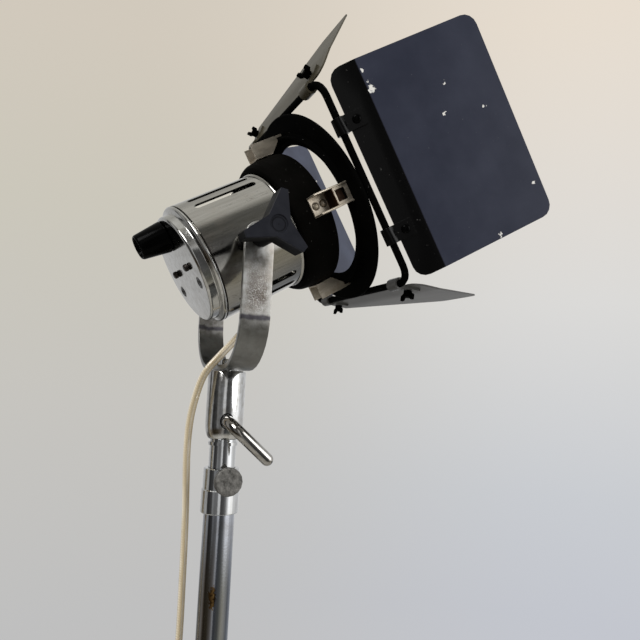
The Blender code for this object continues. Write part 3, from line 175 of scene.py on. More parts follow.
def swept_flex(stations, flats, already):
    """Flat twin flex drawn along its stations: two round cores side by side with a groove between.
    flats gives the direction of its broad side at each station, already the length before this piece."""
    bm = bmesh.new()
    layer = bm.loops.layers.uv.new("run")
    core = FLEX_THICKNESS / 2
    shift = FLEX_WIDTH / 2 - core
    outline = []
    for side in (1, -1):
        for k in range(9):
            angle = math.radians(-148 + 37 * k)
            x, y = shift + core * math.cos(angle), core * math.sin(angle)
            outline.append((side * x, side * y))
    first = [bm.verts.new((x, y, 0)) for x, y in outline]
    face = bm.faces.new(first)
    ring, edges, run, done = first, list(face.edges), already, {}
    for i, spot in enumerate(stations):
        ahead = (stations[min(i + 1, len(stations) - 1)] - stations[max(i - 1, 0)]).normalized()
        flat = (flats[i] - ahead * flats[i].dot(ahead)).normalized()
        thin = ahead.cross(flat)
        if i:
            grown = bmesh.ops.extrude_edge_only(bm, edges=edges)["geom"]
            edges = [g for g in grown if isinstance(g, bmesh.types.BMEdge)
                     and all(v not in ring for v in g.verts)]
            follow = {}
            for vert in ring:
                follow[vert] = next(e.other_vert(vert) for e in vert.link_edges
                                    if e.other_vert(vert) not in done and e.other_vert(vert) not in ring)
            ring = [follow[vert] for vert in ring]
            run += (spot - stations[i - 1]).length
        for vert, (x, y), number in zip(ring, outline, range(len(outline))):
            vert.co = spot + flat * x + thin * y
            done[vert] = (run, number)
    bm.faces.new(ring)
    for face in bm.faces:
        numbers = [done[l.vert][1] for l in face.loops]
        wraps = max(numbers) - min(numbers) > len(outline) / 2
        for loop in face.loops:
            length, number = done[loop.vert]
            if wraps and number == 0:
                number = len(outline)
            loop[layer].uv = (length, number / len(outline))
    return bm


centre = Vector((0, COLUMN_Y, 0))
top = PIVOT_HEIGHT
leaving = head_point(0, -0.0410, -0.0045)
head_route = [leaving, head_point(0, -0.0490, -0.0045)] + [centre + Vector(p) for p in (
    (-0.0048, -0.0075, top - 0.0500), (-0.0062, 0.0010, top - 0.0590), (-0.0072, 0.0085, top - 0.0673),
    (-0.0068, 0.0146, top - 0.0750), (-0.0045, 0.0182, top - 0.0850), (0, 0.0207, top - 0.1020))]
twist_route = [centre + Vector(p) for p in (
    (0.0020, 0.0212, top - 0.1203), (0.0034, 0.0202, top - 0.1400), (0.0050, 0.0188, top - 0.1650),
    (0.0066, 0.0178, top - 0.2000), (0.0074, 0.0174, top - 0.2400))]
drop_route = [centre + Vector(p) for p in (
    (0.0080, 0.0185, top - 0.3303), (0.0080, 0.0200, top - 0.4200), (0.0060, 0.0250, top - 0.6000),
    (0.0040, 0.0310, top - 0.8000), (0.0040, 0.0360, top - 0.9800), (0.0050, 0.0420, top - 1.1000),
    (0.0080, 0.0560, 0.0450), (0.0130, 0.0840, 0.0110), (0.0160, 0.1150, 0.0032),
    (0.0160, 0.1480, 0.0032))]
# The coil: three turns on the floor winding inwards, two on top winding back out, then the plug
coil_centre = centre + Vector((-0.0248, 0.1800, 0))
coil_turns, turn_points = 5.5, 16
for k in range(round(coil_turns * turn_points) + 1):
    turns = k / turn_points
    radius = 0.0405 - 0.0042 * turns if turns < 3 else 0.0279 + 0.0042 * (turns - 3)
    level = 0.0034 + 0.0064 * min(1, max(0, (turns - 2.7) * 2))
    if turns > 5:
        radius, level = 0.0363, 0.0098 - 0.0045 * (turns - 5)
    around = math.tau * turns
    drop_route.append(coil_centre + Vector((radius * math.cos(around), radius * math.sin(around), level)))
tail = drop_route[-1]
drop_route += [Vector((tail.x + 0.0004, tail.y - 0.014, 0.0072)), Vector((tail.x + 0.0008, tail.y - 0.0305, 0.0074))]
whole = head_route + twist_route + drop_route
spacings = [0.0022] * len(head_route) + [0.005] * len(twist_route) + [0.0075] * len(drop_route)
stretches = smooth_stations(whole, spacings)
flex_finish = clear_flex()


def flex_piece(name, first, last, node_names):
    """One length of the flex, from one point of its route to another."""
    stations = [spot for stretch in stretches[first:last] for spot in stretch[:-1]] + [stretches[last - 1][-1]]
    flats = []
    for spot in stations:
        # Broad side to the tilt-knob side at the lamp, turned away lower down, on edge in the coil
        turn = math.radians(50 + 14 * min(1, max(0, (1.17 - spot.z) / 0.10)))
        hanging = Vector((-0.274 * math.cos(turn) + 0.962 * math.sin(turn),
                          -0.962 * math.cos(turn) - 0.274 * math.sin(turn), 0))
        laid = Vector((1, 0, 0)).lerp(Vector((0, 0, 1)), min(1, max(0, (spot.y - COLUMN_Y - 0.11) / 0.05)))
        flats.append(hanging.lerp(laid, min(1, max(0, (0.10 - spot.z) / 0.09))))
    before = [spot for stretch in stretches[:first] for spot in stretch]
    already = sum((b - a).length for a, b in zip(before, before[1:]))
    piece = finished(name, swept_flex(stations, flats, already), flex_finish, None)
    piece.data.set_sharp_from_angle(angle=math.radians(60))
    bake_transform(piece)
    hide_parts(*node_names)
    return piece, stations, sum((b - a).length for a, b in zip(stations, stations[1:]))


bounds = (0, len(head_route), len(head_route) + len(twist_route), len(whole) - 1)
head_flex, line, length = flex_piece("flex_head", bounds[0], bounds[1], ["cord_head"])
relief = bmesh.new()
rings = []
for number, spot in enumerate(line[:11]):
    ahead = (line[number + 1] - line[max(0, number - 1)]).normalized()
    outer = 0.0047 - 0.00012 * number - (0.0004 if number % 2 and 1 < number < 9 else 0)
    made = bmesh.ops.create_circle(relief, segments=32, radius=outer, matrix=Matrix.Translation(spot)
                                   @ ahead.to_track_quat("Z", "Y").to_matrix().to_4x4())
    rings.append(list({e for v in made["verts"] for e in v.link_edges}))
for ring, following in zip(rings, rings[1:]):
    bmesh.ops.bridge_loops(relief, edges=ring + following)
bmesh.ops.holes_fill(relief, edges=relief.edges, sides=0)
strain_relief = finished("strain_relief", relief, flex_finish, None)
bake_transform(strain_relief)
twist_flex, line, length = flex_piece("flex_twist", bounds[1], bounds[2], ["cord_twist"])
drop_flex, line, length = flex_piece("flex_drop", bounds[2], bounds[3],
                                     ["cord_drop", "cord_coil"])
# A strap tie holds the coil on its far side from the plug
tie = bmesh.new()
bmesh.ops.create_cube(tie, size=1, matrix=Matrix.Diagonal((0.0120, 0.0060, 0.0124, 1)))
bmesh.ops.delete(tie, geom=[f for f in tie.faces if abs(f.normal.y) > 0.9], context="FACES_ONLY")
bmesh.ops.bevel(tie, geom=[e for e in tie.edges if len(e.link_faces) == 2], affect="EDGES", offset=0.003,
                segments=6, profile=0.5, material=-1)
bmesh.ops.solidify(tie, geom=tie.faces, thickness=-0.0004)
tie.transform(Matrix.Translation(coil_centre + Vector((-0.0342, 0, 0.0068))))
coil_tie = finished("coil_tie", tie, None, "base")

# Chromed steel tube and turned brass of the stand: the column and its collar, the riser, hubs, legs and
# braces. Bright plating on drawn metal, dulled by pits, thin brown stains and scratches along the tube.


def chromium(name, tone, worn, along, streak, stains, rough, hairlines=0.0, grain=1.0):
    """Old chromium plate: tone varies to worn in streaks, with hairline scratches, brown stains 20 mm
    wide and rust freckles 0.5 mm wide. along turns the pattern so that its Z follows the piece."""
    finish, tree, shader = new_finish(name)
    place = add_node(tree, "TexCoord", {}, {})
    turned = add_node(tree, "Mapping", {}, {"Vector": place.outputs["Object"], "Rotation": along})
    drawn = add_node(tree, "Mapping", {}, {"Vector": turned.outputs["Vector"], "Scale": (1, 1, 1 / streak)})
    lines = add_node(tree, "TexNoise", {}, {"Vector": drawn.outputs["Vector"], "Scale": 260.0 * grain,
                                            "Detail": 4.0, "Roughness": 0.6})
    scratch = add_node(tree, "TexNoise", {}, {"Vector": drawn.outputs["Vector"], "Scale": 90.0 * grain,
                                              "Detail": 6.0, "Roughness": 0.55, "Distortion": 0.4})
    cloud = add_node(tree, "TexNoise", {}, {"Vector": turned.outputs["Vector"], "Scale": 55.0,
                                            "Detail": 5.0, "Roughness": 0.65})
    pits = add_node(tree, "TexNoise", {}, {"Vector": turned.outputs["Vector"], "Scale": 900.0,
                                           "Detail": 2.0, "Roughness": 0.7})
    shade = add_node(tree, "ValToRGB", {"stops": [(0.34, worn), (0.62, tone)]}, {"Fac": lines.outputs["Fac"]})
    near_line = add_node(tree, "MapRange", {}, {
        "Value": add_node(tree, "Math", {"operation": "PINGPONG"},
                          {0: scratch.outputs["Fac"], 1: 0.09}).outputs[0],
        "From Min": 0.0035, "From Max": 0.0, "To Max": hairlines})
    scored = add_node(tree, "MixRGB", {}, {"Fac": near_line.outputs["Result"], "Color1": shade.outputs["Color"],
                                           "Color2": linear("#37322c")})
    stained = add_node(tree, "Math", {"operation": "MULTIPLY_ADD"},
                       {0: lines.outputs["Fac"], 1: 0.45, 2: cloud.outputs["Fac"]})
    amount = add_node(tree, "MapRange", {}, {"Value": stained.outputs[0], "From Min": 0.80 - 0.12 * stains,
                                             "From Max": 1.02 - 0.12 * stains, "To Max": stains})
    freckle = add_node(tree, "MapRange", {}, {"Value": pits.outputs["Fac"], "From Min": 0.66,
                                              "From Max": 0.73, "To Max": 0.55 * stains})
    base = add_node(tree, "MixRGB", {}, {"Fac": amount.outputs["Result"], "Color1": scored.outputs["Color"],
                                         "Color2": linear("#857561")})
    spotted = add_node(tree, "MixRGB", {}, {"Fac": freckle.outputs["Result"], "Color1": base.outputs["Color"],
                                            "Color2": linear("#4d3a28")})
    tree.links.new(spotted.outputs["Color"], shader.inputs["Base Color"])
    shader.inputs["Metallic"].default_value = 1.0
    dull = add_node(tree, "MapRange", {}, {"Value": lines.outputs["Fac"], "From Min": 0.35, "From Max": 0.75,
                                           "To Min": rough, "To Max": rough + 0.07})
    worn_rough = add_node(tree, "Math", {"operation": "MULTIPLY_ADD"},
                          {0: amount.outputs["Result"], 1: 0.22, 2: dull.outputs["Result"]})
    tree.links.new(worn_rough.outputs[0], shader.inputs["Roughness"])
    fine = add_node(tree, "Bump", {"invert": True}, {"Height": pits.outputs["Fac"], "Strength": 0.04,
                                                    "Distance": 0.0004})
    coarse = add_node(tree, "Bump", {}, {"Height": lines.outputs["Fac"], "Strength": 0.02,
                                         "Distance": 0.0006, "Normal": fine.outputs["Normal"]})
    tree.links.new(coarse.outputs["Normal"], shader.inputs["Normal"])
    return finish


def dress(names, finish, angle=32, edge=0.0):
    """Gives CAD nodes their finish and rounds their shading. Their true edges stay crisp, or are eased
    by a bevel as wide as edge."""
    for name in names:
        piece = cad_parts[name]
        for slot in piece.material_slots:
            slot.material = finish
        for face in piece.data.polygons:
            face.use_smooth = True
        weld = piece.modifiers.new("weld", "WELD")
        weld.merge_threshold = 0.00001
        if edge:
            bevel = piece.modifiers.new("eased_edges", "BEVEL")
            bevel.width = edge
            bevel.segments = 2
            bevel.limit_method = "ANGLE"
            bevel.angle_limit = math.radians(angle)
            flat = piece.modifiers.new("flat_faces", "WEIGHTED_NORMAL")
            flat.weight = 90
        else:
            split = piece.modifiers.new("edges", "EDGE_SPLIT")
            split.split_angle = math.radians(angle)


tube_chrome = chromium("drawn_chrome_tube", "#c8cacc", "#b4b4b2", (0, 0, 0), 14.0, 0.35, 0.04, 0.35)
dress(["riser_collar", "riser_tube", "leg_hub", "brace_hub"], tube_chrome)
# The column alone has a brown patch of rust, 4 by 12 mm, below its collar
column_chrome = tube_chrome.copy()
column_chrome.name = "rust_spotted_column"
tree = column_chrome.node_tree
shader = tree.nodes["Principled BSDF"]
plated = shader.inputs["Base Color"].links[0].from_socket
place = add_node(tree, "TexCoord", {}, {})
from_spot = add_node(tree, "Mapping", {}, {"Vector": place.outputs["Object"],
                                           "Location": (0.0086, -0.0904, -1.0298 * 0.36), "Scale": (1, 1, 0.36)})
ragged = add_node(tree, "TexNoise", {}, {"Vector": place.outputs["Object"], "Scale": 700.0, "Detail": 4.0})
reach = add_node(tree, "Math", {"operation": "MULTIPLY_ADD"}, {
    0: ragged.outputs["Fac"], 1: -0.0040, 2: add_node(tree, "VectorMath", {"operation": "LENGTH"},
                                                     {0: from_spot.outputs["Vector"]}).outputs["Value"]})
patch = add_node(tree, "MapRange", {}, {"Value": reach.outputs[0], "From Min": 0.0004, "From Max": 0.0})
rust = add_node(tree, "ValToRGB", {"stops": [(0.35, "#3a2a16"), (0.6, "#8a6f45")]}, {"Fac": ragged.outputs["Fac"]})
bluish = add_node(tree, "MixRGB", {"blend_type": "MULTIPLY"}, {"Fac": 1.0, "Color1": plated,
                                                               "Color2": linear("#dcdfe8")})
patched = add_node(tree, "MixRGB", {}, {"Fac": patch.outputs["Result"], "Color1": bluish.outputs["Color"],
                                        "Color2": rust.outputs["Color"]})
tree.links.new(patched.outputs["Color"], shader.inputs["Base Color"])
dress(["column_tube"], column_chrome)
for name, degrees in (("front", -90), ("right", 30), ("left", 150)):
    leg_chrome = chromium("chrome_leg_" + name, "#c4c6c8", "#b0b0ae",
                          (0, math.radians(40), math.radians(-degrees)), 14.0, 0.3, 0.05, 0.3)
    dress(["leg_" + name, "brace_" + name], leg_chrome)

# Socket and its clamp lever: turned from solid brass bar and chromed. The lower end is drawn in, and
# the bent lever is a round bar screwed in through a sunk hole in the side.
PAN_AXIS = Matrix.Translation((0, COLUMN_Y, 0))
SOCKET_BASE, SOCKET_TOP, SOCKET_RADIUS, SOCKET_BORE = 1.1193, 1.1602, 0.0115, 0.0083
LEVER_HEIGHT, LEVER_RADIUS, LEVER_BEND = 1.1304, 0.0037, 0.010


def eased(profile, size):
    """A closed profile of (radius, height) points with each corner off the axis rounded by size."""
    out = []
    for i, here in enumerate(profile):
        before, after = Vector(profile[i - 1]), Vector(profile[(i + 1) % len(profile)])
        here = Vector(here)
        if here.x < 1e-6:
            out.append(here)
            continue
        start = here + (before - here).normalized() * min(size, (before - here).length * 0.45)
        end = here + (after - here).normalized() * min(size, (after - here).length * 0.45)
        out += [start * (1 - t) ** 2 + here * 2 * t * (1 - t) + end * t * t for t in (0, 1 / 3, 2 / 3, 1)]
    return out


def spun(profile, steps, place):
    """A piece turned about its axis, as on a lathe, and put in its place."""
    bm = bmesh.new()
    ring = [bm.verts.new((radius, 0, height)) for radius, height in profile]
    pairs = list(zip(ring, ring[1:]))
    if profile[0][0] > 1e-6 or profile[-1][0] > 1e-6:
        pairs.append((ring[-1], ring[0]))
    edges = [bm.edges.new(pair) for pair in pairs]
    bmesh.ops.spin(bm, geom=ring + edges, axis=(0, 0, 1), angle=math.tau, steps=steps, use_merge=True)
    bmesh.ops.remove_doubles(bm, verts=bm.verts, dist=0.000002)
    bmesh.ops.recalc_face_normals(bm, faces=bm.faces)
    bm.transform(place)
    return bm


def carved(body, tool, operation="DIFFERENCE"):
    """One closed shape cut by, or joined with, another."""
    pair = []
    for bm in (body, tool):
        data = bpy.data.meshes.new("blank")
        bm.to_mesh(data)
        bm.free()
        pair.append(bpy.data.objects.new("blank", data))
        bpy.context.scene.collection.objects.link(pair[-1])
    cut = pair[0].modifiers.new("cut", "BOOLEAN")
    cut.operation = operation
    cut.solver = "EXACT"
    cut.object = pair[1]
    bpy.context.view_layer.update()
    result = bmesh.new()
    result.from_object(pair[0], bpy.context.evaluated_depsgraph_get())
    for blank in pair:
        data = blank.data
        bpy.data.objects.remove(blank)
        bpy.data.meshes.remove(data)
    return result


def stand_in(name, mesh, finish, body, node, angle=35):
    """A finished piece that is shown in place of its CAD node, smooth up to the given angle."""
    piece = finished(name, mesh, finish, body)
    piece.data.set_sharp_from_angle(angle=math.radians(angle))
    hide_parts(node)
    return piece


socket_profile = [(SOCKET_BORE, SOCKET_BASE), (SOCKET_RADIUS - 0.0031, SOCKET_BASE)] + [
    (SOCKET_RADIUS - 0.0031 + 0.0031 * math.sin(a), SOCKET_BASE + 0.0095 * (1 - math.cos(a)))
    for a in [math.radians(10 * i) for i in range(1, 10)]] + [
    (SOCKET_RADIUS, SOCKET_TOP - 0.0009), (SOCKET_RADIUS - 0.0003, SOCKET_TOP - 0.0003),
    (SOCKET_RADIUS - 0.0009, SOCKET_TOP), (0.0036, SOCKET_TOP), (0.0036, SOCKET_TOP - 0.0100),
    (SOCKET_BORE, SOCKET_TOP - 0.0100)]
lever_side = Matrix.Rotation(math.radians(172), 4, "Z")
lever_hole = spun([(0, 0.005), (0.0040, 0.005), (0.0040, 0.0106), (0.0052, 0.0118), (0.0052, 0.02), (0, 0.02)], 40,
                  PAN_AXIS @ Matrix.Translation((0, 0, LEVER_HEIGHT)) @ lever_side
                  @ Matrix.Rotation(math.pi / 2, 4, "Y"))
socket_chrome = chromium("turned_chrome_socket", "#c6c7c8", "#a9a8a4", (0, 0, 0), 1.2, 0.35, 0.07, 0.25)
stand_in("turned_socket", carved(spun(socket_profile, 96, PAN_AXIS), lever_hole), socket_chrome, "pan",
         "stand_socket")

lever = bmesh.new()
bmesh.ops.create_circle(lever, segments=32, radius=LEVER_RADIUS, matrix=Matrix.Translation((0.0087, 0, 0))
                        @ Matrix.Rotation(math.pi / 2, 4, "Y"))
lever.faces.new([v for v in lever.verts])
rim = list(lever.edges)
droop = Vector((0, math.cos(math.radians(42)), -math.sin(math.radians(42))))
corner = Vector((0.0135, 0, 0)) + droop * LEVER_BEND


def drawn_on(bm, edges, move=None, axis=None, steps=12, angle=0.0, cent=None):
    """Draws an open end further: straight by move, or round a bend about cent."""
    if move is not None:
        grown = bmesh.ops.extrude_edge_only(bm, edges=edges)["geom"]
        bmesh.ops.translate(bm, verts=[g for g in grown if isinstance(g, bmesh.types.BMVert)], vec=move)
        return [g for g in grown if isinstance(g, bmesh.types.BMEdge)]
    last = bmesh.ops.spin(bm, geom=edges, cent=cent, axis=axis, angle=angle, steps=steps)["geom_last"]
    return [g for g in last if isinstance(g, bmesh.types.BMEdge)]


rim = drawn_on(lever, rim, move=Vector((0.0048, 0, 0)))
rim = drawn_on(lever, rim, axis=Vector((1, 0, 0)).cross(droop), cent=corner, angle=math.pi / 2, steps=14)
rim = drawn_on(lever, rim, move=droop * (0.034 - LEVER_BEND - LEVER_RADIUS))
for turn in (15, 30, 45, 60, 75, 87):
    rise = LEVER_RADIUS * (math.sin(math.radians(turn)) - math.sin(math.radians(turn - 15 if turn < 87 else 75)))
    rim = drawn_on(lever, rim, move=droop * rise)
    ends = list({v for e in rim for v in e.verts})
    middle = sum((v.co for v in ends), Vector()) / len(ends)
    size = math.cos(math.radians(turn)) / math.cos(math.radians(turn - 15 if turn < 87 else 75))
    bmesh.ops.scale(lever, verts=ends, vec=(size, size, size), space=Matrix.Translation(-middle))
bmesh.ops.holes_fill(lever, edges=rim, sides=0)
lever.transform(PAN_AXIS @ Matrix.Translation((0, 0, LEVER_HEIGHT)) @ lever_side)
lever_chrome = chromium("bent_chrome_bar", "#a9a8a5", "#85817b", (0, 0, 0), 1.0, 0.55, 0.05)
stand_in("bent_lever", lever, lever_chrome, "lever", "socket_lever")

# Yoke: 17 mm steel strap bent into a U and plated. Its arms are pitted brown in the middle, and their
# lower ends are painted grey below a dark purple band, as painted reflection of the dim room below.
yoke_chrome = chromium("pitted_strap_chrome", "#b4b4b1", "#918e88", (0, 0, 0), 1.0, 0.45, 0.30, 0.15)
tree = yoke_chrome.node_tree
shader = tree.nodes["Principled BSDF"]
plated = shader.inputs["Base Color"].links[0].from_socket
place = add_node(tree, "TexCoord", {}, {})
spot = add_node(tree, "SeparateXYZ", {}, {"Vector": place.outputs["Object"]})
pitted = add_node(tree, "ValToRGB", {"stops": [(0.0, 0.0), (0.12, 0.0), (0.45, 0.62), (0.62, 0.8), (0.78, 0.25),
                                               (1.0, 0.1)]}, {
    "Fac": add_node(tree, "MapRange", {}, {"Value": spot.outputs["Z"], "From Min": 1.232,
                                           "From Max": 1.180}).outputs["Result"]})
across = add_node(tree, "Math", {"operation": "SUBTRACT"}, {0: spot.outputs["Y"], 1: COLUMN_Y})
middle = add_node(tree, "MapRange", {"interpolation_type": "SMOOTHSTEP"}, {
    "Value": add_node(tree, "Math", {"operation": "ABSOLUTE"}, {0: across.outputs[0]}).outputs[0],
    "From Min": 0.0085, "From Max": 0.0035})
grit = add_node(tree, "TexNoise", {}, {"Vector": place.outputs["Object"], "Scale": 1300.0, "Detail": 3.0,
                                       "Roughness": 0.75})
soft_grit = add_node(tree, "TexNoise", {}, {"Vector": place.outputs["Object"], "Scale": 160.0, "Detail": 4.0})
rust_share = add_node(tree, "Math", {"operation": "MULTIPLY"}, {0: pitted.outputs["Color"],
                                                               1: middle.outputs["Result"]})
rust_depth = add_node(tree, "Math", {"operation": "MULTIPLY_ADD"},
                      {0: soft_grit.outputs["Fac"], 1: 0.35, 2: grit.outputs["Fac"]})
rusty = add_node(tree, "MapRange", {}, {"Value": rust_depth.outputs[0], "From Min": 0.56, "From Max": 0.68})
rusted = add_node(tree, "Math", {"operation": "MULTIPLY"}, {0: rusty.outputs["Result"], 1: rust_share.outputs[0]})
brown = add_node(tree, "MixRGB", {}, {"Fac": rusted.outputs[0], "Color1": plated,
                                      "Color2": linear("#46382f")})
# Painted reflection: a dark purple band crosses the arms near 1.19 m and they turn grey below it, standing in for the
# dim room the lower arms reflect
bent = add_node(tree, "MapRange", {"interpolation_type": "SMOOTHSTEP"}, {
    "Value": add_node(tree, "Math", {"operation": "ABSOLUTE"}, {
        0: add_node(tree, "Math", {"operation": "MULTIPLY_ADD"},
                    {0: soft_grit.outputs["Fac"], 1: 0.004, 2: add_node(
                        tree, "Math", {"operation": "SUBTRACT"}, {0: spot.outputs["Z"], 1: 1.1915}).outputs[0]}
                    ).outputs[0]}).outputs[0],
    "From Min": 0.0022, "From Max": 0.0006, "To Max": 0.75})
low_end_painted_reflection = add_node(tree, "MapRange", {"interpolation_type": "SMOOTHSTEP"}, {
    "Value": spot.outputs["Z"], "From Min": 1.192, "From Max": 1.178, "To Max": 0.8})
reflection_greyed = add_node(tree, "MixRGB", {}, {"Fac": low_end_painted_reflection.outputs["Result"], "Color1": brown.outputs["Color"],
                                       "Color2": linear("#5f605f")})
purple = add_node(tree, "MixRGB", {}, {"Fac": bent.outputs["Result"], "Color1": reflection_greyed.outputs["Color"],
                                       "Color2": linear("#302c3c")})
tree.links.new(purple.outputs["Color"], shader.inputs["Base Color"])
dress(["yoke"], yoke_chrome, edge=0.0005)
dress(["yoke_bolt"], socket_chrome)

# Bare and blackened steel: the thumbscrews' discs, the studs, and the ends of the guide rods.


def plain_metal(name, tone, rough, speck, dimple=0.05):
    """Steel or zinc that has dulled: soft mottling about 2 mm across and fine scratches."""
    finish, tree, shader = new_finish(name)
    place = add_node(tree, "TexCoord", {}, {})
    cloud = add_node(tree, "TexNoise", {}, {"Vector": place.outputs["Object"], "Scale": 420.0,
                                            "Detail": 5.0, "Roughness": 0.7})
    shade = add_node(tree, "ValToRGB", {"stops": [(0.3, tone), (0.72, speck)]}, {"Fac": cloud.outputs["Fac"]})
    tree.links.new(shade.outputs["Color"], shader.inputs["Base Color"])
    shader.inputs["Metallic"].default_value = 0.85
    dull = add_node(tree, "MapRange", {}, {"Value": cloud.outputs["Fac"], "To Min": rough - 0.08,
                                           "To Max": rough + 0.12})
    tree.links.new(dull.outputs["Result"], shader.inputs["Roughness"])
    bump = add_node(tree, "Bump", {}, {"Height": cloud.outputs["Fac"], "Strength": dimple, "Distance": 0.0003})
    tree.links.new(bump.outputs["Normal"], shader.inputs["Normal"])
    return finish


dark_steel = plain_metal("blackened_steel", "#24211f", 0.45, "#3a3531")
zinc = plain_metal("dull_zinc", "#8c8d8e", 0.35, "#a5a29c")
cast_zinc = plain_metal("sand_cast_zinc", "#3f3e3c", 0.55, "#8d8b87", 0.8)
dress(["collar_thumbscrew", "hub_thumbscrew"], cast_zinc, edge=0.0004)
dress(["guide_rod_near", "guide_rod_far"], dark_steel, edge=0.0003)
dress(["tilt_stud", "pivot_screw", "focus_carriage"], zinc)

# Lamp can: a chromed sheet-steel tube, slotted for cooling, with a rolled bead near its front. Satin
# from handling, with fine streaks and hairline cracks in the plating that run along it.
head = Matrix(((1, 0, 0, 0), (0, math.sin(TILT), -math.cos(TILT), 0), (0, math.cos(TILT), math.sin(TILT), 0),
               (0, 0, 0, 1)))
head.translation = head_point(0, 0, 0)
along_head = (TILT - math.pi / 2, 0, 0)
can_mesh = spun([(0.0362, -0.0256), (0.0374, -0.0256), (0.0374, 0.0262), (0.0378, 0.0266), (0.0381, 0.0271),
                 (0.0382, 0.0276), (0.0381, 0.0281), (0.0378, 0.0286), (0.0374, 0.0290), (0.0374, 0.0331),
                 (0.0362, 0.0331)], 160, Matrix.Identity(4))
for degrees in (50, 66, 114, 130, -53, -69, -111, -127):
    slot_tool = bmesh.new()
    bmesh.ops.create_cube(slot_tool, size=1, matrix=Matrix.Diagonal((0.008, 0.0045, 0.041, 1)))
    sides = [e for e in slot_tool.edges if abs((e.verts[0].co - e.verts[1].co).normalized().x) > 0.9]
    bmesh.ops.bevel(slot_tool, geom=sides, affect="EDGES", offset=0.00222, segments=6, profile=0.5,
                    material=-1)
    slot_tool.transform(Matrix.Rotation(math.radians(degrees), 4, "Z")
                        @ Matrix.Translation((0.0368, 0, 0.0020)))
    can_mesh = carved(can_mesh, slot_tool)
pivot_tool = spun([(0, -0.05), (0.0033, -0.05), (0.0033, 0.05), (0, 0.05)], 24,
                  Matrix.Translation((0, -0.0025, 0)) @ Matrix.Rotation(math.pi / 2, 4, "Y"))
can_mesh = carved(can_mesh, pivot_tool)
gland_tool = spun([(0, 0.02), (0.0043, 0.02), (0.0043, 0.05), (0, 0.05)], 24,
                  Matrix.Translation((0, 0, -0.0045)) @ Matrix.Rotation(math.pi / 2, 4, "X"))
can_mesh = carved(can_mesh, gland_tool)
can_mesh.transform(head)
can_chrome = chromium("satin_worn_chrome", "#a3a19c", "#96948e", along_head, 16.0, 0.30, 0.12, 0.6, 2.0)
stand_in("slotted_can", can_mesh, can_chrome, "lamp", "lamp_can")

# Rear cap: spun from sheet, with a flat face, a rolled double bead and a skirt over the can. Two dark
# screw ends and two hollow rivets show on the face.
cap_mesh = spun(eased([
    (0, -0.0350), (0.0326, -0.0350), (0.0336, -0.0340), (0.0338, -0.0293), (0.0368, -0.0286), (0.0376, -0.0273),
    (0.0371, -0.0262), (0.0359, -0.0257), (0.0366, -0.0246), (0.0359, -0.0213), (0.0347, -0.0213),
    (0.0347, -0.0273), (0.0324, -0.0285), (0.0324, -0.0338), (0, -0.0338)], 0.0005), 160, Matrix.Identity(4))
for x, y, radius, low, high in ((0, 0.0225, 0.0033, -0.04, -0.03), (0.0146, 0, 0.0018, -0.04, -0.03),
                                (-0.0146, 0, 0.0018, -0.04, -0.03), (0.0215, -0.0112, 0.0037, -0.04, -0.0346),
                                (-0.0215, -0.0112, 0.0037, -0.04, -0.0346)):
    hole = spun([(0, low), (radius, low), (radius, high), (0, high)], 32, Matrix.Translation((x, y, 0)))
    cap_mesh = carved(cap_mesh, hole)
cap_mesh.transform(head)
cap_chrome = chromium("spun_cap_chrome", "#b8b8b6", "#a3a29e", along_head, 3.0, 0.25, 0.09, 0.1)
stand_in("spun_cap", cap_mesh, cap_chrome, "lamp", "rear_cap")
tarnished = plain_metal("tarnished_rivet", "#6c6d6f", 0.40, "#4c4c4c")
for side, label in ((-1, "near"), (1, "far")):
    rivet = spun(eased([(0.0014, -0.0346), (0.0033, -0.0346), (0.0032, -0.0350), (0.0024, -0.0355),
                        (0.0016, -0.0352), (0.0013, -0.0349)], 0.0002), 32,
                 head @ Matrix.Translation((side * 0.0215, -0.0112, 0)))
    finished("cap_rivet_" + label, rivet, tarnished, "lamp")

# Black moulded plastic: the tapered focus knob with its dished end, the spacers, plug and tilt knob.


def moulded(name, tone, worn, rough, grain, gloss=0.5, ior=1.5):
    """Moulded phenolic or ABS: nearly even colour, fine orange-peel 0.6 mm wide, greasy patches."""
    finish, tree, shader = new_finish(name)
    place = add_node(tree, "TexCoord", {}, {})
    cloud = add_node(tree, "TexNoise", {}, {"Vector": place.outputs["Object"], "Scale": 120.0,
                                            "Detail": 4.0})
    peel = add_node(tree, "TexNoise", {}, {"Vector": place.outputs["Object"], "Scale": 1600.0})
    shade = add_node(tree, "ValToRGB", {"stops": [(0.35, tone), (0.75, worn)]}, {"Fac": cloud.outputs["Fac"]})
    tree.links.new(shade.outputs["Color"], shader.inputs["Base Color"])
    shader.inputs["Specular IOR Level"].default_value = gloss
    shader.inputs["IOR"].default_value = ior
    dull = add_node(tree, "MapRange", {}, {"Value": cloud.outputs["Fac"], "From Min": 0.3, "From Max": 0.7,
                                           "To Min": rough, "To Max": rough + 0.14})
    tree.links.new(dull.outputs["Result"], shader.inputs["Roughness"])
    bump = add_node(tree, "Bump", {}, {"Height": peel.outputs["Fac"], "Strength": grain, "Distance": 0.0002})
    tree.links.new(bump.outputs["Normal"], shader.inputs["Normal"])
    return finish


black_plastic = moulded("black_phenolic", "#020202", "#040404", 0.10, 0.01, 0.12, 1.2)
slate_plastic = moulded("slate_phenolic", "#1d1e23", "#26272c", 0.36, 0.05, 0.12, 1.2)
knob_mesh = spun(eased([
    (0, -0.0200), (0.0029, -0.0200), (0.0029, -0.0353), (0.0094, -0.0353), (0.0097, -0.0358), (0.0076, -0.0519), (0.0070, -0.0529), (0.0063, -0.0529), (0.0054, -0.0499),
    (0, -0.0499)], 0.0004), 96, head @ Matrix.Translation((0, 0.0225, 0)))
stand_in("tapered_focus_knob", knob_mesh, black_plastic, "focus_knob", "focus_knob")
dress(["pivot_spacer_near", "pivot_spacer_far", "plug"], black_plastic, edge=0.0004)
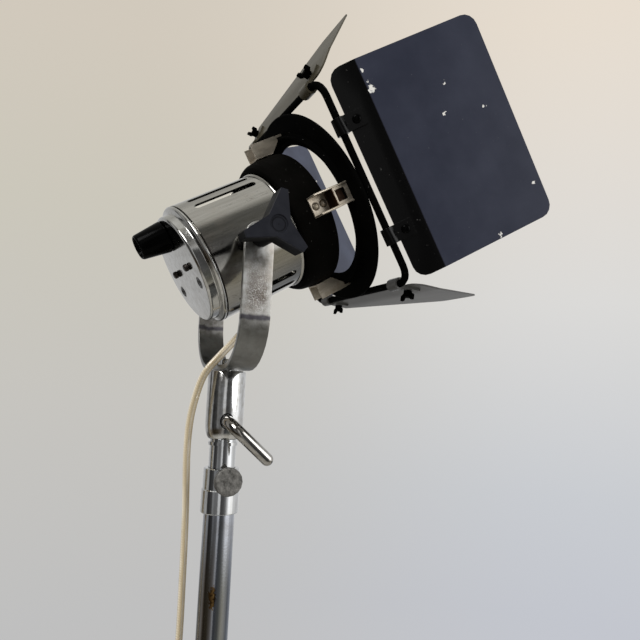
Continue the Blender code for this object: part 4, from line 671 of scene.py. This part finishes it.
# The tilt knob's outer face is slate, its flanks are darkened to near black as painted shade, and moulding rings mark
# its hub
face_x = min(vert.co.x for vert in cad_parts["tilt_knob"].data.vertices)
tree = slate_plastic.node_tree
shader = tree.nodes["Principled BSDF"]
face_colour = shader.inputs["Base Color"].links[0].from_socket
place = add_node(tree, "TexCoord", {}, {})
spot = add_node(tree, "SeparateXYZ", {}, {"Vector": place.outputs["Object"]})
# Painted shade: everything behind the outer face is darkened towards near black
shaded_flank = add_node(tree, "MapRange", {"interpolation_type": "SMOOTHSTEP"}, {
    "Value": spot.outputs["X"], "From Min": face_x + 0.0012, "From Max": face_x + 0.0026, "To Max": 0.9})
from_hub = add_node(tree, "VectorMath", {"operation": "LENGTH"}, {0: add_node(
    tree, "VectorMath", {"operation": "MULTIPLY"}, {
        0: add_node(tree, "VectorMath", {"operation": "SUBTRACT"}, {
            0: place.outputs["Object"], 1: tuple(head_point(0, -0.0025, 0))}).outputs["Vector"],
        1: (0, 1, 1)}).outputs["Vector"]})
ring = add_node(tree, "MapRange", {"interpolation_type": "SMOOTHSTEP"}, {
    "Value": add_node(tree, "Math", {"operation": "PINGPONG"}, {0: from_hub.outputs["Value"], 1: 0.0018}).outputs[0],
    "From Min": 0.0006, "From Max": 0.0, "To Max": 0.7})
on_hub = add_node(tree, "MapRange", {}, {"Value": from_hub.outputs["Value"], "From Min": 0.0041, "From Max": 0.0038})
marks = add_node(tree, "Math", {"operation": "MULTIPLY"}, {0: ring.outputs["Result"], 1: on_hub.outputs["Result"]})
dark = add_node(tree, "Math", {"operation": "MAXIMUM"}, {0: shaded_flank.outputs["Result"], 1: marks.outputs[0]})
face_and_shaded_flank = add_node(tree, "MixRGB", {}, {"Fac": dark.outputs[0], "Color1": face_colour, "Color2": linear("#030303")})
tree.links.new(face_and_shaded_flank.outputs["Color"], shader.inputs["Base Color"])
dress(["tilt_knob"], slate_plastic, edge=0.0006)
rubber = moulded("black_rubber", "#0d0d0d", "#161514", 0.62, 0.1, 0.3)
dress(["foot_front", "foot_right", "foot_left", "cord_gland"], rubber)
for piece in (strain_relief, coil_tie):
    piece.data.materials.clear()
    piece.data.materials.append(rubber)

# Front collar, lens and reflector: a cast collar in black enamel holds the stepped lens and its ring.
# The enamel is baked on, satin, with dust, faint scuffs and a few chips down to pale primer.


def enamel(name, tone, dusty, rough, chips, gloss=0.03):
    """Baked black enamel with dust and small flecks where it has chipped."""
    finish, tree, shader = new_finish(name)
    place = add_node(tree, "TexCoord", {}, {})
    cloud = add_node(tree, "TexNoise", {}, {"Vector": place.outputs["Object"], "Scale": 38.0,
                                            "Detail": 5.0, "Roughness": 0.6})
    dust = add_node(tree, "TexNoise", {}, {"Vector": place.outputs["Object"], "Scale": 700.0, "Detail": 3.0})
    shade = add_node(tree, "ValToRGB", {"stops": [(0.3, tone), (0.75, dusty)]}, {"Fac": cloud.outputs["Fac"]})
    fleck = add_node(tree, "MapRange", {}, {"Value": dust.outputs["Fac"], "From Min": 0.72 - 0.02 * chips,
                                            "From Max": 0.76 - 0.02 * chips, "To Max": 0.4})
    final = add_node(tree, "MixRGB", {}, {"Fac": fleck.outputs["Result"], "Color1": shade.outputs["Color"],
                                          "Color2": linear("#6d6c68")})
    tree.links.new(final.outputs["Color"], shader.inputs["Base Color"])
    shader.inputs["Specular IOR Level"].default_value = gloss
    shader.inputs["IOR"].default_value = 1.2
    dull = add_node(tree, "MapRange", {}, {"Value": cloud.outputs["Fac"], "From Min": 0.3, "From Max": 0.7,
                                           "To Min": rough, "To Max": rough + 0.12})
    tree.links.new(dull.outputs["Result"], shader.inputs["Roughness"])
    bump = add_node(tree, "Bump", {}, {"Height": dust.outputs["Fac"], "Strength": 0.03, "Distance": 0.0002})
    tree.links.new(bump.outputs["Normal"], shader.inputs["Normal"])
    return finish


collar_enamel = enamel("cast_black_enamel", "#050504", "#0b0a09", 0.42, 0.2, 0.018)
collar_mesh = spun(eased([
    (0.0377, 0.0289), (0.0413, 0.0289), (0.0428, 0.0315), (0.0434, 0.0354), (0.0436, 0.0360), (0.0436, 0.0503),
    (0.0429, 0.0513), (0.0412, 0.0513), (0.0412, 0.0416), (0.0402, 0.0416), (0.0402, 0.0366),
    (0.0360, 0.0366), (0.0360, 0.0334), (0.0377, 0.0334)], 0.0006), 160, head)
stand_in("cast_collar", collar_mesh, collar_enamel, "lamp", "front_collar")
stand_in("lens_retainer", spun(eased([(0.0374, 0.0419), (0.0409, 0.0419), (0.0409, 0.0435), (0.0374, 0.0435)],
                                     0.0003), 160, head), collar_enamel, "lamp", "lens_ring")


def clear_glass(name, tint, rough):
    """Pressed glass, slightly tinted, with shallow ripples about 3 mm wide."""
    finish, tree, shader = new_finish(name)
    place = add_node(tree, "TexCoord", {}, {})
    ripple = add_node(tree, "TexNoise", {}, {"Vector": place.outputs["Object"], "Scale": 320.0})
    bump = add_node(tree, "Bump", {}, {"Height": ripple.outputs["Fac"], "Strength": 0.05, "Distance": 0.0005})
    tree.links.new(bump.outputs["Normal"], shader.inputs["Normal"])
    shader.inputs["Base Color"].default_value = linear(tint)
    shader.inputs["Transmission Weight"].default_value = 1.0
    shader.inputs["Roughness"].default_value = rough
    shader.inputs["IOR"].default_value = 1.52
    return finish


lens_profile = [(0, 0.0369), (0.0397, 0.0369), (0.0399, 0.0371), (0.0399, 0.0411), (0.0397, 0.0413)]
for zone in range(3):
    rim_radius = 0.0359 * (1 - zone / 3)
    lens_profile += [(rim_radius, 0.0413), (rim_radius - 0.0006, 0.0420), (rim_radius - 0.0020, 0.0427),
                     (rim_radius - 0.0060, 0.0430 + 0.0004 * zone)]
lens_profile += [(0.0040, 0.0446), (0, 0.0448)]
stand_in("pressed_lens", spun(lens_profile, 160, head), clear_glass("pressed_lens_glass", "#eef4f2", 0.06), "lamp",
         "lens", 20)
dress(["bulb"], clear_glass("bulb_glass", "#f6f2e8", 0.02))
dress(["reflector"], plain_metal("spun_aluminium", "#c9cacb", 0.22, "#dcdcda"))
dress(["lamp_holder"], moulded("glazed_steatite", "#d8d2c4", "#e6e1d6", 0.25, 0.05))

# Spring clips: channels of nickel-plated spring steel, riveted twice to the collar, brown-stained and
# dark brown along their folds, with painted shade round their rivets. A rusty tongue inside each presses on the door
# ring.
rust_steel = plain_metal("rusted_spring_steel", "#3a281b", 0.55, "#1d1510", 0.2)
rivet_steel = plain_metal("nickelled_rivet", "#9c9282", 0.50, "#776e60", 0.1)


def clip_finish(label, clip_place, rust):
    """Brushed nickel plate of one clip with brown stains, dark brown in the fold between its base and its strap, and
    painted shade as a dark ring round each rivet.
    """
    finish = chromium("rusting_nickel_steel_" + label, "#c2b9aa", "#a49b8c", along_head, 5.0, rust, 0.46, 0.2)
    tree = finish.node_tree
    shader = tree.nodes["Principled BSDF"]
    plated = shader.inputs["Base Color"].links[0].from_socket
    place = add_node(tree, "TexCoord", {}, {})
    inward = clip_place.inverted()
    own = add_node(tree, "Mapping", {}, {"Vector": place.outputs["Object"], "Location": inward.translation,
                                         "Rotation": inward.to_euler()})
    spot = add_node(tree, "SeparateXYZ", {}, {"Vector": own.outputs["Vector"]})
    grime = add_node(tree, "TexNoise", {}, {"Vector": own.outputs["Vector"], "Scale": 900.0, "Detail": 4.0})
    wavy = add_node(tree, "Math", {"operation": "MULTIPLY_ADD"}, {0: grime.outputs["Fac"], 1: 0.0008,
                                                                  2: spot.outputs["Z"]})
    # The fold between the base and the strap is coloured dark brown
    off_fold = add_node(tree, "Math", {"operation": "ABSOLUTE"}, {
        0: add_node(tree, "Math", {"operation": "SUBTRACT"}, {0: wavy.outputs[0], 1: 0.0508}).outputs[0]})
    fold = add_node(tree, "MapRange", {"interpolation_type": "SMOOTHSTEP"}, {
        "Value": off_fold.outputs[0], "From Min": 0.0012, "From Max": 0.0006})
    off_wall = add_node(tree, "MapRange", {}, {
        "Value": add_node(tree, "Math", {"operation": "ABSOLUTE"}, {0: spot.outputs["X"]}).outputs[0],
        "From Min": 0.0056, "From Max": 0.0050})
    amount = add_node(tree, "Math", {"operation": "MULTIPLY"}, {0: fold.outputs["Result"],
                                                                1: off_wall.outputs["Result"]})
    # Painted shade: a dark ring round each rivet head, where the gap under it lies in shadow
    for station in (0.0415, 0.0468):
        from_rivet = add_node(tree, "VectorMath", {"operation": "LENGTH"}, {0: add_node(
            tree, "CombineXYZ", {}, {"X": spot.outputs["X"], "Z": add_node(
                tree, "Math", {"operation": "SUBTRACT"}, {0: spot.outputs["Z"], 1: station}).outputs[0]}).outputs[0]})
        rivet_ring_shade = add_node(tree, "MapRange", {"interpolation_type": "SMOOTHSTEP"}, {
            "Value": from_rivet.outputs["Value"], "From Min": 0.0029, "From Max": 0.0022, "To Max": 0.85})
        amount = add_node(tree, "Math", {"operation": "MAXIMUM"}, {0: amount.outputs[0], 1: rivet_ring_shade.outputs["Result"]})
    rusted = add_node(tree, "MixRGB", {}, {"Fac": amount.outputs[0], "Color1": plated,
                                           "Color2": linear("#33241a")})
    tree.links.new(rusted.outputs["Color"], shader.inputs["Base Color"])
    return finish


for label, degrees, rust in (("top", 0, 0.6), ("near", 90, 0.5), ("bottom", 180, 0.7), ("far", 270, 0.6)):
    clip_place = head @ Matrix.Rotation(math.radians(degrees), 4, "Z")
    dress(["spring_clip_" + label], clip_finish(label, clip_place, rust), edge=0.0002)
    for number, station in enumerate((0.0415, 0.0468)):
        rivet = spun([(0, 0.0449), (0.0020, 0.0449), (0.0020, 0.0450), (0.0021, 0.0451), (0.0019, 0.0454),
                      (0.0015, 0.0457), (0.0008, 0.0459), (0, 0.04595)], 32,
                     clip_place @ Matrix.Translation((0, 0, station)) @ Matrix.Rotation(-math.pi / 2, 4, "X"))
        finished("clip_rivet_%s_%d" % (label, number), rivet, rivet_steel, "lamp")
    tongue = bmesh.new()
    bmesh.ops.create_cube(tongue, size=1, matrix=clip_place @ Matrix.Translation((0, 0.0520, 0.0547))
                          @ Matrix.Diagonal((0.0096, 0.0005, 0.0062, 1)))
    bmesh.ops.bevel(tongue, geom=list(tongue.edges), affect="EDGES", offset=0.0002, segments=2, profile=0.5,
                    material=-1)
    finished("clip_tongue_" + label, tongue, rust_steel, "lamp")

# Barn doors: a flat ring with a rearward lip, a square frame of bent rod, and four sheet leaves on rod clamps,
# all in black enamel. The leaves' faces are toned as painted light, the near and far leaves' hinge strips are darkened
# as painted shade, and the leaves are chipped white at the edges.
ring_enamel = enamel("flat_black_enamel", "#030303", "#070706", 0.42, 0.1, 0.010)
ring_mesh = spun(eased([
    (0.0450, 0.0623), (0.0501, 0.0623), (0.0501, 0.0587), (0.0511, 0.0581), (0.0521, 0.0587), (0.0521, 0.0623),
    (0.0635, 0.0623), (0.0643, 0.0631), (0.0643, 0.0645), (0.0635, 0.0653), (0.0458, 0.0653), (0.0450, 0.0645)],
    0.0004), 180, head)
stand_in("door_ring", ring_mesh, ring_enamel, "doors", "barn_ring")
dress(["rod_frame"], ring_enamel, angle=50)
dress(["wing_screw_top_near", "wing_screw_top_far", "wing_screw_bottom_near", "wing_screw_bottom_far"],
      ring_enamel, edge=0.0002)
for label, turn, opening in (("near", 90, 13), ("far", 270, 33)):
    for number, offset in enumerate((-0.034, 0.034)):
        screw = spun([(0, 0.0), (0.0026, 0.0), (0.0026, 0.0008), (0.0022, 0.0014), (0.0014, 0.0018), (0, 0.0019)],
                     32, head @ Matrix.Rotation(math.radians(turn), 4, "Z")
                     @ Matrix.Translation((0, 0.0629, 0.0678)) @ Matrix.Rotation(math.radians(-opening - 12), 4, "X")
                     @ Matrix.Translation((offset, 0.0019, 0.0100)) @ Matrix.Rotation(-math.pi / 2, 4, "X"))
        finished("clamp_screw_%s_%d" % (label, number), screw, black_plastic, "leaf_" + label)
LEAF_STRIP = 0.0225


def leaf_enamel(name, turn, opening, face_light_tone, mottled_light_tone, strip_shade_tone, strip_end, spots, gloss=0.12):
    """The enamel of one leaf: a glossy strip along the hinge coloured near black as painted shade, a face toned
    as painted light, and white chips at the given places, measured along the hinge and away from it."""
    finish, tree, shader = new_finish(name)
    hinge = (head @ Matrix.Rotation(math.radians(turn), 4, "Z") @ Matrix.Translation((0, 0.0629, 0.0678))
             @ Matrix.Rotation(-math.radians(opening), 4, "X")).inverted()
    place = add_node(tree, "TexCoord", {}, {})
    sheet = add_node(tree, "Mapping", {}, {"Vector": place.outputs["Object"], "Location": hinge.translation,
                                           "Rotation": hinge.to_euler()})
    spot = add_node(tree, "SeparateXYZ", {}, {"Vector": sheet.outputs["Vector"]})
    cloud = add_node(tree, "TexNoise", {}, {"Vector": sheet.outputs["Vector"], "Scale": 30.0, "Detail": 5.0,
                                            "Roughness": 0.6})
    dust = add_node(tree, "TexNoise", {}, {"Vector": sheet.outputs["Vector"], "Scale": 600.0, "Detail": 3.0})
    # Painted light: the face tone is the black enamel as lit where each leaf hangs, mottled at random
    face = add_node(tree, "ValToRGB", {"stops": [(0.35, face_light_tone), (0.68, mottled_light_tone)]},
                    {"Fac": cloud.outputs["Fac"]})
    # Painted shade: the strip along the hinge is coloured near black, as if it lay in shade
    strip = add_node(tree, "MapRange", {}, {"Value": spot.outputs["Z"], "From Min": strip_end + 0.0004,
                                            "From Max": strip_end - 0.0004})
    toned = add_node(tree, "MixRGB", {}, {"Fac": strip.outputs["Result"], "Color1": face.outputs["Color"],
                                          "Color2": linear(strip_shade_tone)})
    fleck = add_node(tree, "MapRange", {}, {"Value": dust.outputs["Fac"], "From Min": 0.71, "From Max": 0.75,
                                            "To Max": 0.2})
    shown = add_node(tree, "MixRGB", {}, {"Fac": fleck.outputs["Result"], "Color1": toned.outputs["Color"],
                                          "Color2": linear("#7f7e7b")})
    torn = add_node(tree, "MapRange", {}, {"Value": dust.outputs["Fac"], "From Min": 0.3, "From Max": 0.7,
                                           "To Min": -0.0011, "To Max": 0.0011})
    for x, z, size in spots:
        from_chip = add_node(tree, "VectorMath", {"operation": "DISTANCE"},
                             {0: sheet.outputs["Vector"], 1: (x, LEAF_STRIP * math.sin(math.radians(12)), z)})
        ragged = add_node(tree, "Math", {"operation": "ADD"}, {0: from_chip.outputs["Value"],
                                                               1: torn.outputs["Result"]})
        chip = add_node(tree, "MapRange", {}, {"Value": ragged.outputs[0], "From Min": size,
                                               "From Max": size * 0.75, "To Max": 0.9})
        shown = add_node(tree, "MixRGB", {}, {"Fac": chip.outputs["Result"], "Color1": shown.outputs["Color"],
                                              "Color2": linear("#dcdad5")})
    tree.links.new(shown.outputs["Color"], shader.inputs["Base Color"])
    shader.inputs["Specular IOR Level"].default_value = gloss
    dull = add_node(tree, "MapRange", {}, {"Value": strip.outputs["Result"], "To Min": 0.42, "To Max": 0.24})
    tree.links.new(dull.outputs["Result"], shader.inputs["Roughness"])
    bump = add_node(tree, "Bump", {}, {"Height": dust.outputs["Fac"], "Strength": 0.03, "Distance": 0.0002})
    tree.links.new(bump.outputs["Normal"], shader.inputs["Normal"])
    return finish


# Painted light and shade: each leaf's face tone is set by the light it catches, and the near and far hinge strips are
# painted near black as shade
dress(["leaf_near"], leaf_enamel("enamel_painted_light_near", 90, 13, "#262936", "#2f323f", "#040404", 0.0222, (
    (0.0570, 0.0235, 0.0012), (0.0497, 0.0235, 0.0009), (0.0457, 0.0245, 0.0022), (0.0168, 0.0601, 0.0010),
    (0.0327, 0.0677, 0.0011), (0.0114, 0.0853, 0.0013), (-0.0429, 0.0966, 0.0011), (-0.0623, 0.0627, 0.0012))),
    edge=0.0003)
dress(["leaf_far"], leaf_enamel("enamel_painted_light_far", 270, 33, "#474a58", "#555a6b", "#060606", 0.0222, (
    (0.0400, 0.0500, 0.0020), (-0.0300, 0.0900, 0.0012))), edge=0.0003)
dress(["leaf_top"], leaf_enamel("dusty_enamel_painted_light_top", 0, 30, "#3a362b", "#484337", "#3a362b", 0.0, (
    (0.0500, 0.0400, 0.0010), (-0.0200, 0.0860, 0.0012))), edge=0.0003)
dress(["leaf_bottom"], leaf_enamel("dusty_enamel_painted_light_bottom", 180, 24, "#444342", "#52514f", "#444342", 0.0, (
    (0.0300, 0.0860, 0.0010),)), edge=0.0003)

# Studio: a pale floor, a pale wall of light for the camera, and a soft room for the reflections.
floor_mesh = bmesh.new()
bmesh.ops.create_circle(floor_mesh, cap_ends=True, segments=96, radius=2.2)
floor_finish, tree, shader = new_finish("pale_floor")
shader.inputs["Base Color"].default_value = linear("#d9d6cf")
shader.inputs["Roughness"].default_value = 0.75
spread = add_node(tree, "VectorMath", {"operation": "LENGTH"},
                  {0: add_node(tree, "TexCoord", {}, {}).outputs["Object"]})
fade = add_node(tree, "MapRange", {"interpolation_type": "SMOOTHSTEP"},
                {"Value": spread.outputs["Value"], "From Min": 2.1, "From Max": 0.9})
tree.links.new(fade.outputs["Result"], shader.inputs["Alpha"])
floor = finished("floor", floor_mesh, floor_finish, smooth=False)

world = bpy.data.worlds.new("soft_room")
bpy.context.scene.world = world
world.use_nodes = True
tree = world.node_tree
place = add_node(tree, "TexCoord", {}, {})
axes = add_node(tree, "SeparateXYZ", {}, {"Vector": place.outputs["Generated"]})
bearing = add_node(tree, "Math", {"operation": "ARCTAN2"}, {0: axes.outputs["Y"], 1: axes.outputs["X"]})
around = add_node(tree, "MapRange", {}, {"Value": bearing.outputs[0], "From Min": -math.pi,
                                         "From Max": math.pi})
wave = add_node(tree, "TexNoise", {}, {"Vector": place.outputs["Generated"], "Scale": 2.2, "Detail": 2.0})
swayed = add_node(tree, "Math", {"operation": "MULTIPLY_ADD"},
                  {0: wave.outputs["Fac"], 1: 0.045, 2: around.outputs["Result"]})
# Shares of a turn from -X towards -Y: a wide window beyond the doors' near side, a pale wall to the
# front, a dim doorway and its frame behind the lamp, and shelves towards the camera
walls = add_node(tree, "ValToRGB", {"stops": [
    (0.000, 0.05), (0.045, 0.06), (0.085, 0.16), (0.110, 0.80), (0.130, 1.00), (0.205, 1.00), (0.225, 0.60),
    (0.300, 0.42), (0.400, 0.48), (0.500, 0.38), (0.590, 0.34), (0.640, 0.30), (0.655, 0.05), (0.680, 0.05),
    (0.700, 0.28), (0.745, 0.30), (0.762, 0.04), (0.785, 0.02), (0.840, 0.05), (0.856, 0.16), (0.900, 0.10),
    (0.938, 0.13), (0.952, 0.44), (0.984, 0.48), (0.994, 0.07), (1.000, 0.05)]},
    {"Fac": swayed.outputs[0]})
low_walls = add_node(tree, "ValToRGB", {"stops": [
    (0.00, "#4a4b4c"), (0.08, "#63645f"), (0.14, "#b2ad9c"), (0.21, "#a9a59a"), (0.28, "#757779"),
    (0.40, "#a3a6ab"), (0.52, "#8b8c8c"), (0.62, "#77736c"), (0.665, "#2b2620"), (0.70, "#8a8379"),
    (0.75, "#5f5548"), (0.78, "#2d261b"), (0.87, "#3f382b"), (0.92, "#6d6760"), (0.965, "#a5a3a0"),
    (0.985, "#4a4b4d"), (1.00, "#4a4b4c")]}, {"Fac": swayed.outputs[0]})
ceiling = add_node(tree, "ValToRGB", {"stops": [
    (0.00, "#6c6c69"), (0.15, "#9b9a95"), (0.35, "#b9b8b3"), (0.60, "#cfcec9"), (0.80, "#8f8d88"),
    (1.00, "#6c6c69")]}, {"Fac": swayed.outputs[0]})
lifted = add_node(tree, "VectorMath", {"operation": "SCALE"}, {0: walls.outputs["Color"], "Scale": 1.75})
downward = add_node(tree, "MapRange", {"interpolation_type": "SMOOTHSTEP"},
                    {"Value": axes.outputs["Z"], "From Min": -0.20, "From Max": -0.34})
below = add_node(tree, "MixRGB", {}, {"Fac": downward.outputs["Result"], "Color1": lifted.outputs["Vector"],
                                      "Color2": low_walls.outputs["Color"]})
upward = add_node(tree, "MapRange", {"interpolation_type": "SMOOTHSTEP"},
                  {"Value": axes.outputs["Z"], "From Min": 0.42, "From Max": 0.62})
above = add_node(tree, "MixRGB", {}, {"Fac": upward.outputs["Result"], "Color1": below.outputs["Color"],
                                      "Color2": ceiling.outputs["Color"]})
zenith = add_node(tree, "MapRange", {"interpolation_type": "SMOOTHSTEP"},
                  {"Value": axes.outputs["Z"], "From Min": 0.80, "From Max": 0.93})
room = add_node(tree, "MixRGB", {}, {"Fac": zenith.outputs["Result"], "Color1": above.outputs["Color"],
                                     "Color2": linear("#efeee9")})
# What the camera sees of the wall: warm at the top, cool at the foot, and lighter towards -Y
risen = add_node(tree, "MapRange", {}, {"Value": add_node(tree, "VectorMath", {"operation": "DOT_PRODUCT"}, {
    0: place.outputs["Generated"], 1: (-0.075, 0.083, 0.994)}).outputs["Value"], "From Min": -0.45, "From Max": 0.45})
aside = add_node(tree, "MapRange", {"interpolation_type": "SMOOTHSTEP"}, {
    "Value": add_node(tree, "VectorMath", {"operation": "DOT_PRODUCT"}, {
        0: place.outputs["Generated"], 1: (-0.422, -0.906, 0.043)}).outputs["Value"],
    "From Min": -0.30, "From Max": 0.45})
dim_wall = add_node(tree, "ValToRGB", {"stops": [
    (0.02, "#bfbfbf"), (0.36, "#c6c4bf"), (0.71, "#cbc7bb"), (0.98, "#d1c9bc")]}, {"Fac": risen.outputs["Result"]})
bright_wall = add_node(tree, "ValToRGB", {"stops": [
    (0.02, "#c3c6ce"), (0.20, "#c9ccd1"), (0.53, "#dbdad8"), (0.98, "#e7ddd0")]}, {"Fac": risen.outputs["Result"]})
backdrop = add_node(tree, "MixRGB", {}, {"Fac": aside.outputs["Result"], "Color1": dim_wall.outputs["Color"],
                                         "Color2": bright_wall.outputs["Color"]})
rays = add_node(tree, "LightPath", {}, {})
soft = add_node(tree, "Background", {}, {"Color": linear("#f4f3f0"), "Strength": 0.62})
mirrored = add_node(tree, "Background", {}, {"Color": room.outputs["Color"], "Strength": 1.0})
seen = add_node(tree, "Background", {}, {"Color": backdrop.outputs["Color"], "Strength": 1.0})
gloss = add_node(tree, "MixShader", {}, {0: rays.outputs["Is Glossy Ray"], 1: soft.outputs[0],
                                         2: mirrored.outputs[0]})
through = add_node(tree, "Math", {"operation": "MAXIMUM"}, {0: rays.outputs["Is Camera Ray"],
                                                          1: rays.outputs["Is Transmission Ray"]})
shown = add_node(tree, "MixShader", {}, {0: through.outputs[0], 1: gloss.outputs[0], 2: seen.outputs[0]})
tree.links.new(shown.outputs[0], tree.nodes["World Output"].inputs["Surface"])
for name, spot, aim, size, power in (
        ("key_light", (-0.9, 1.3, 2.4), (0, 0.05, 1.2), 1.0, 26.0),
        ("fill_light", (-1.6, -1.2, 1.8), (0, 0, 1.1), 1.4, 14.0)):
    light = bpy.data.lights.new(name, "AREA")
    light.shape = "DISK"
    light.size = size
    light.energy = power
    lamp = bpy.data.objects.new(name, light)
    bpy.context.scene.collection.objects.link(lamp)
    lamp.location = spot
    lamp.rotation_euler = (Vector(aim) - Vector(spot)).to_track_quat("-Z", "Y").to_euler()
bpy.context.scene.view_settings.view_transform = "Standard"
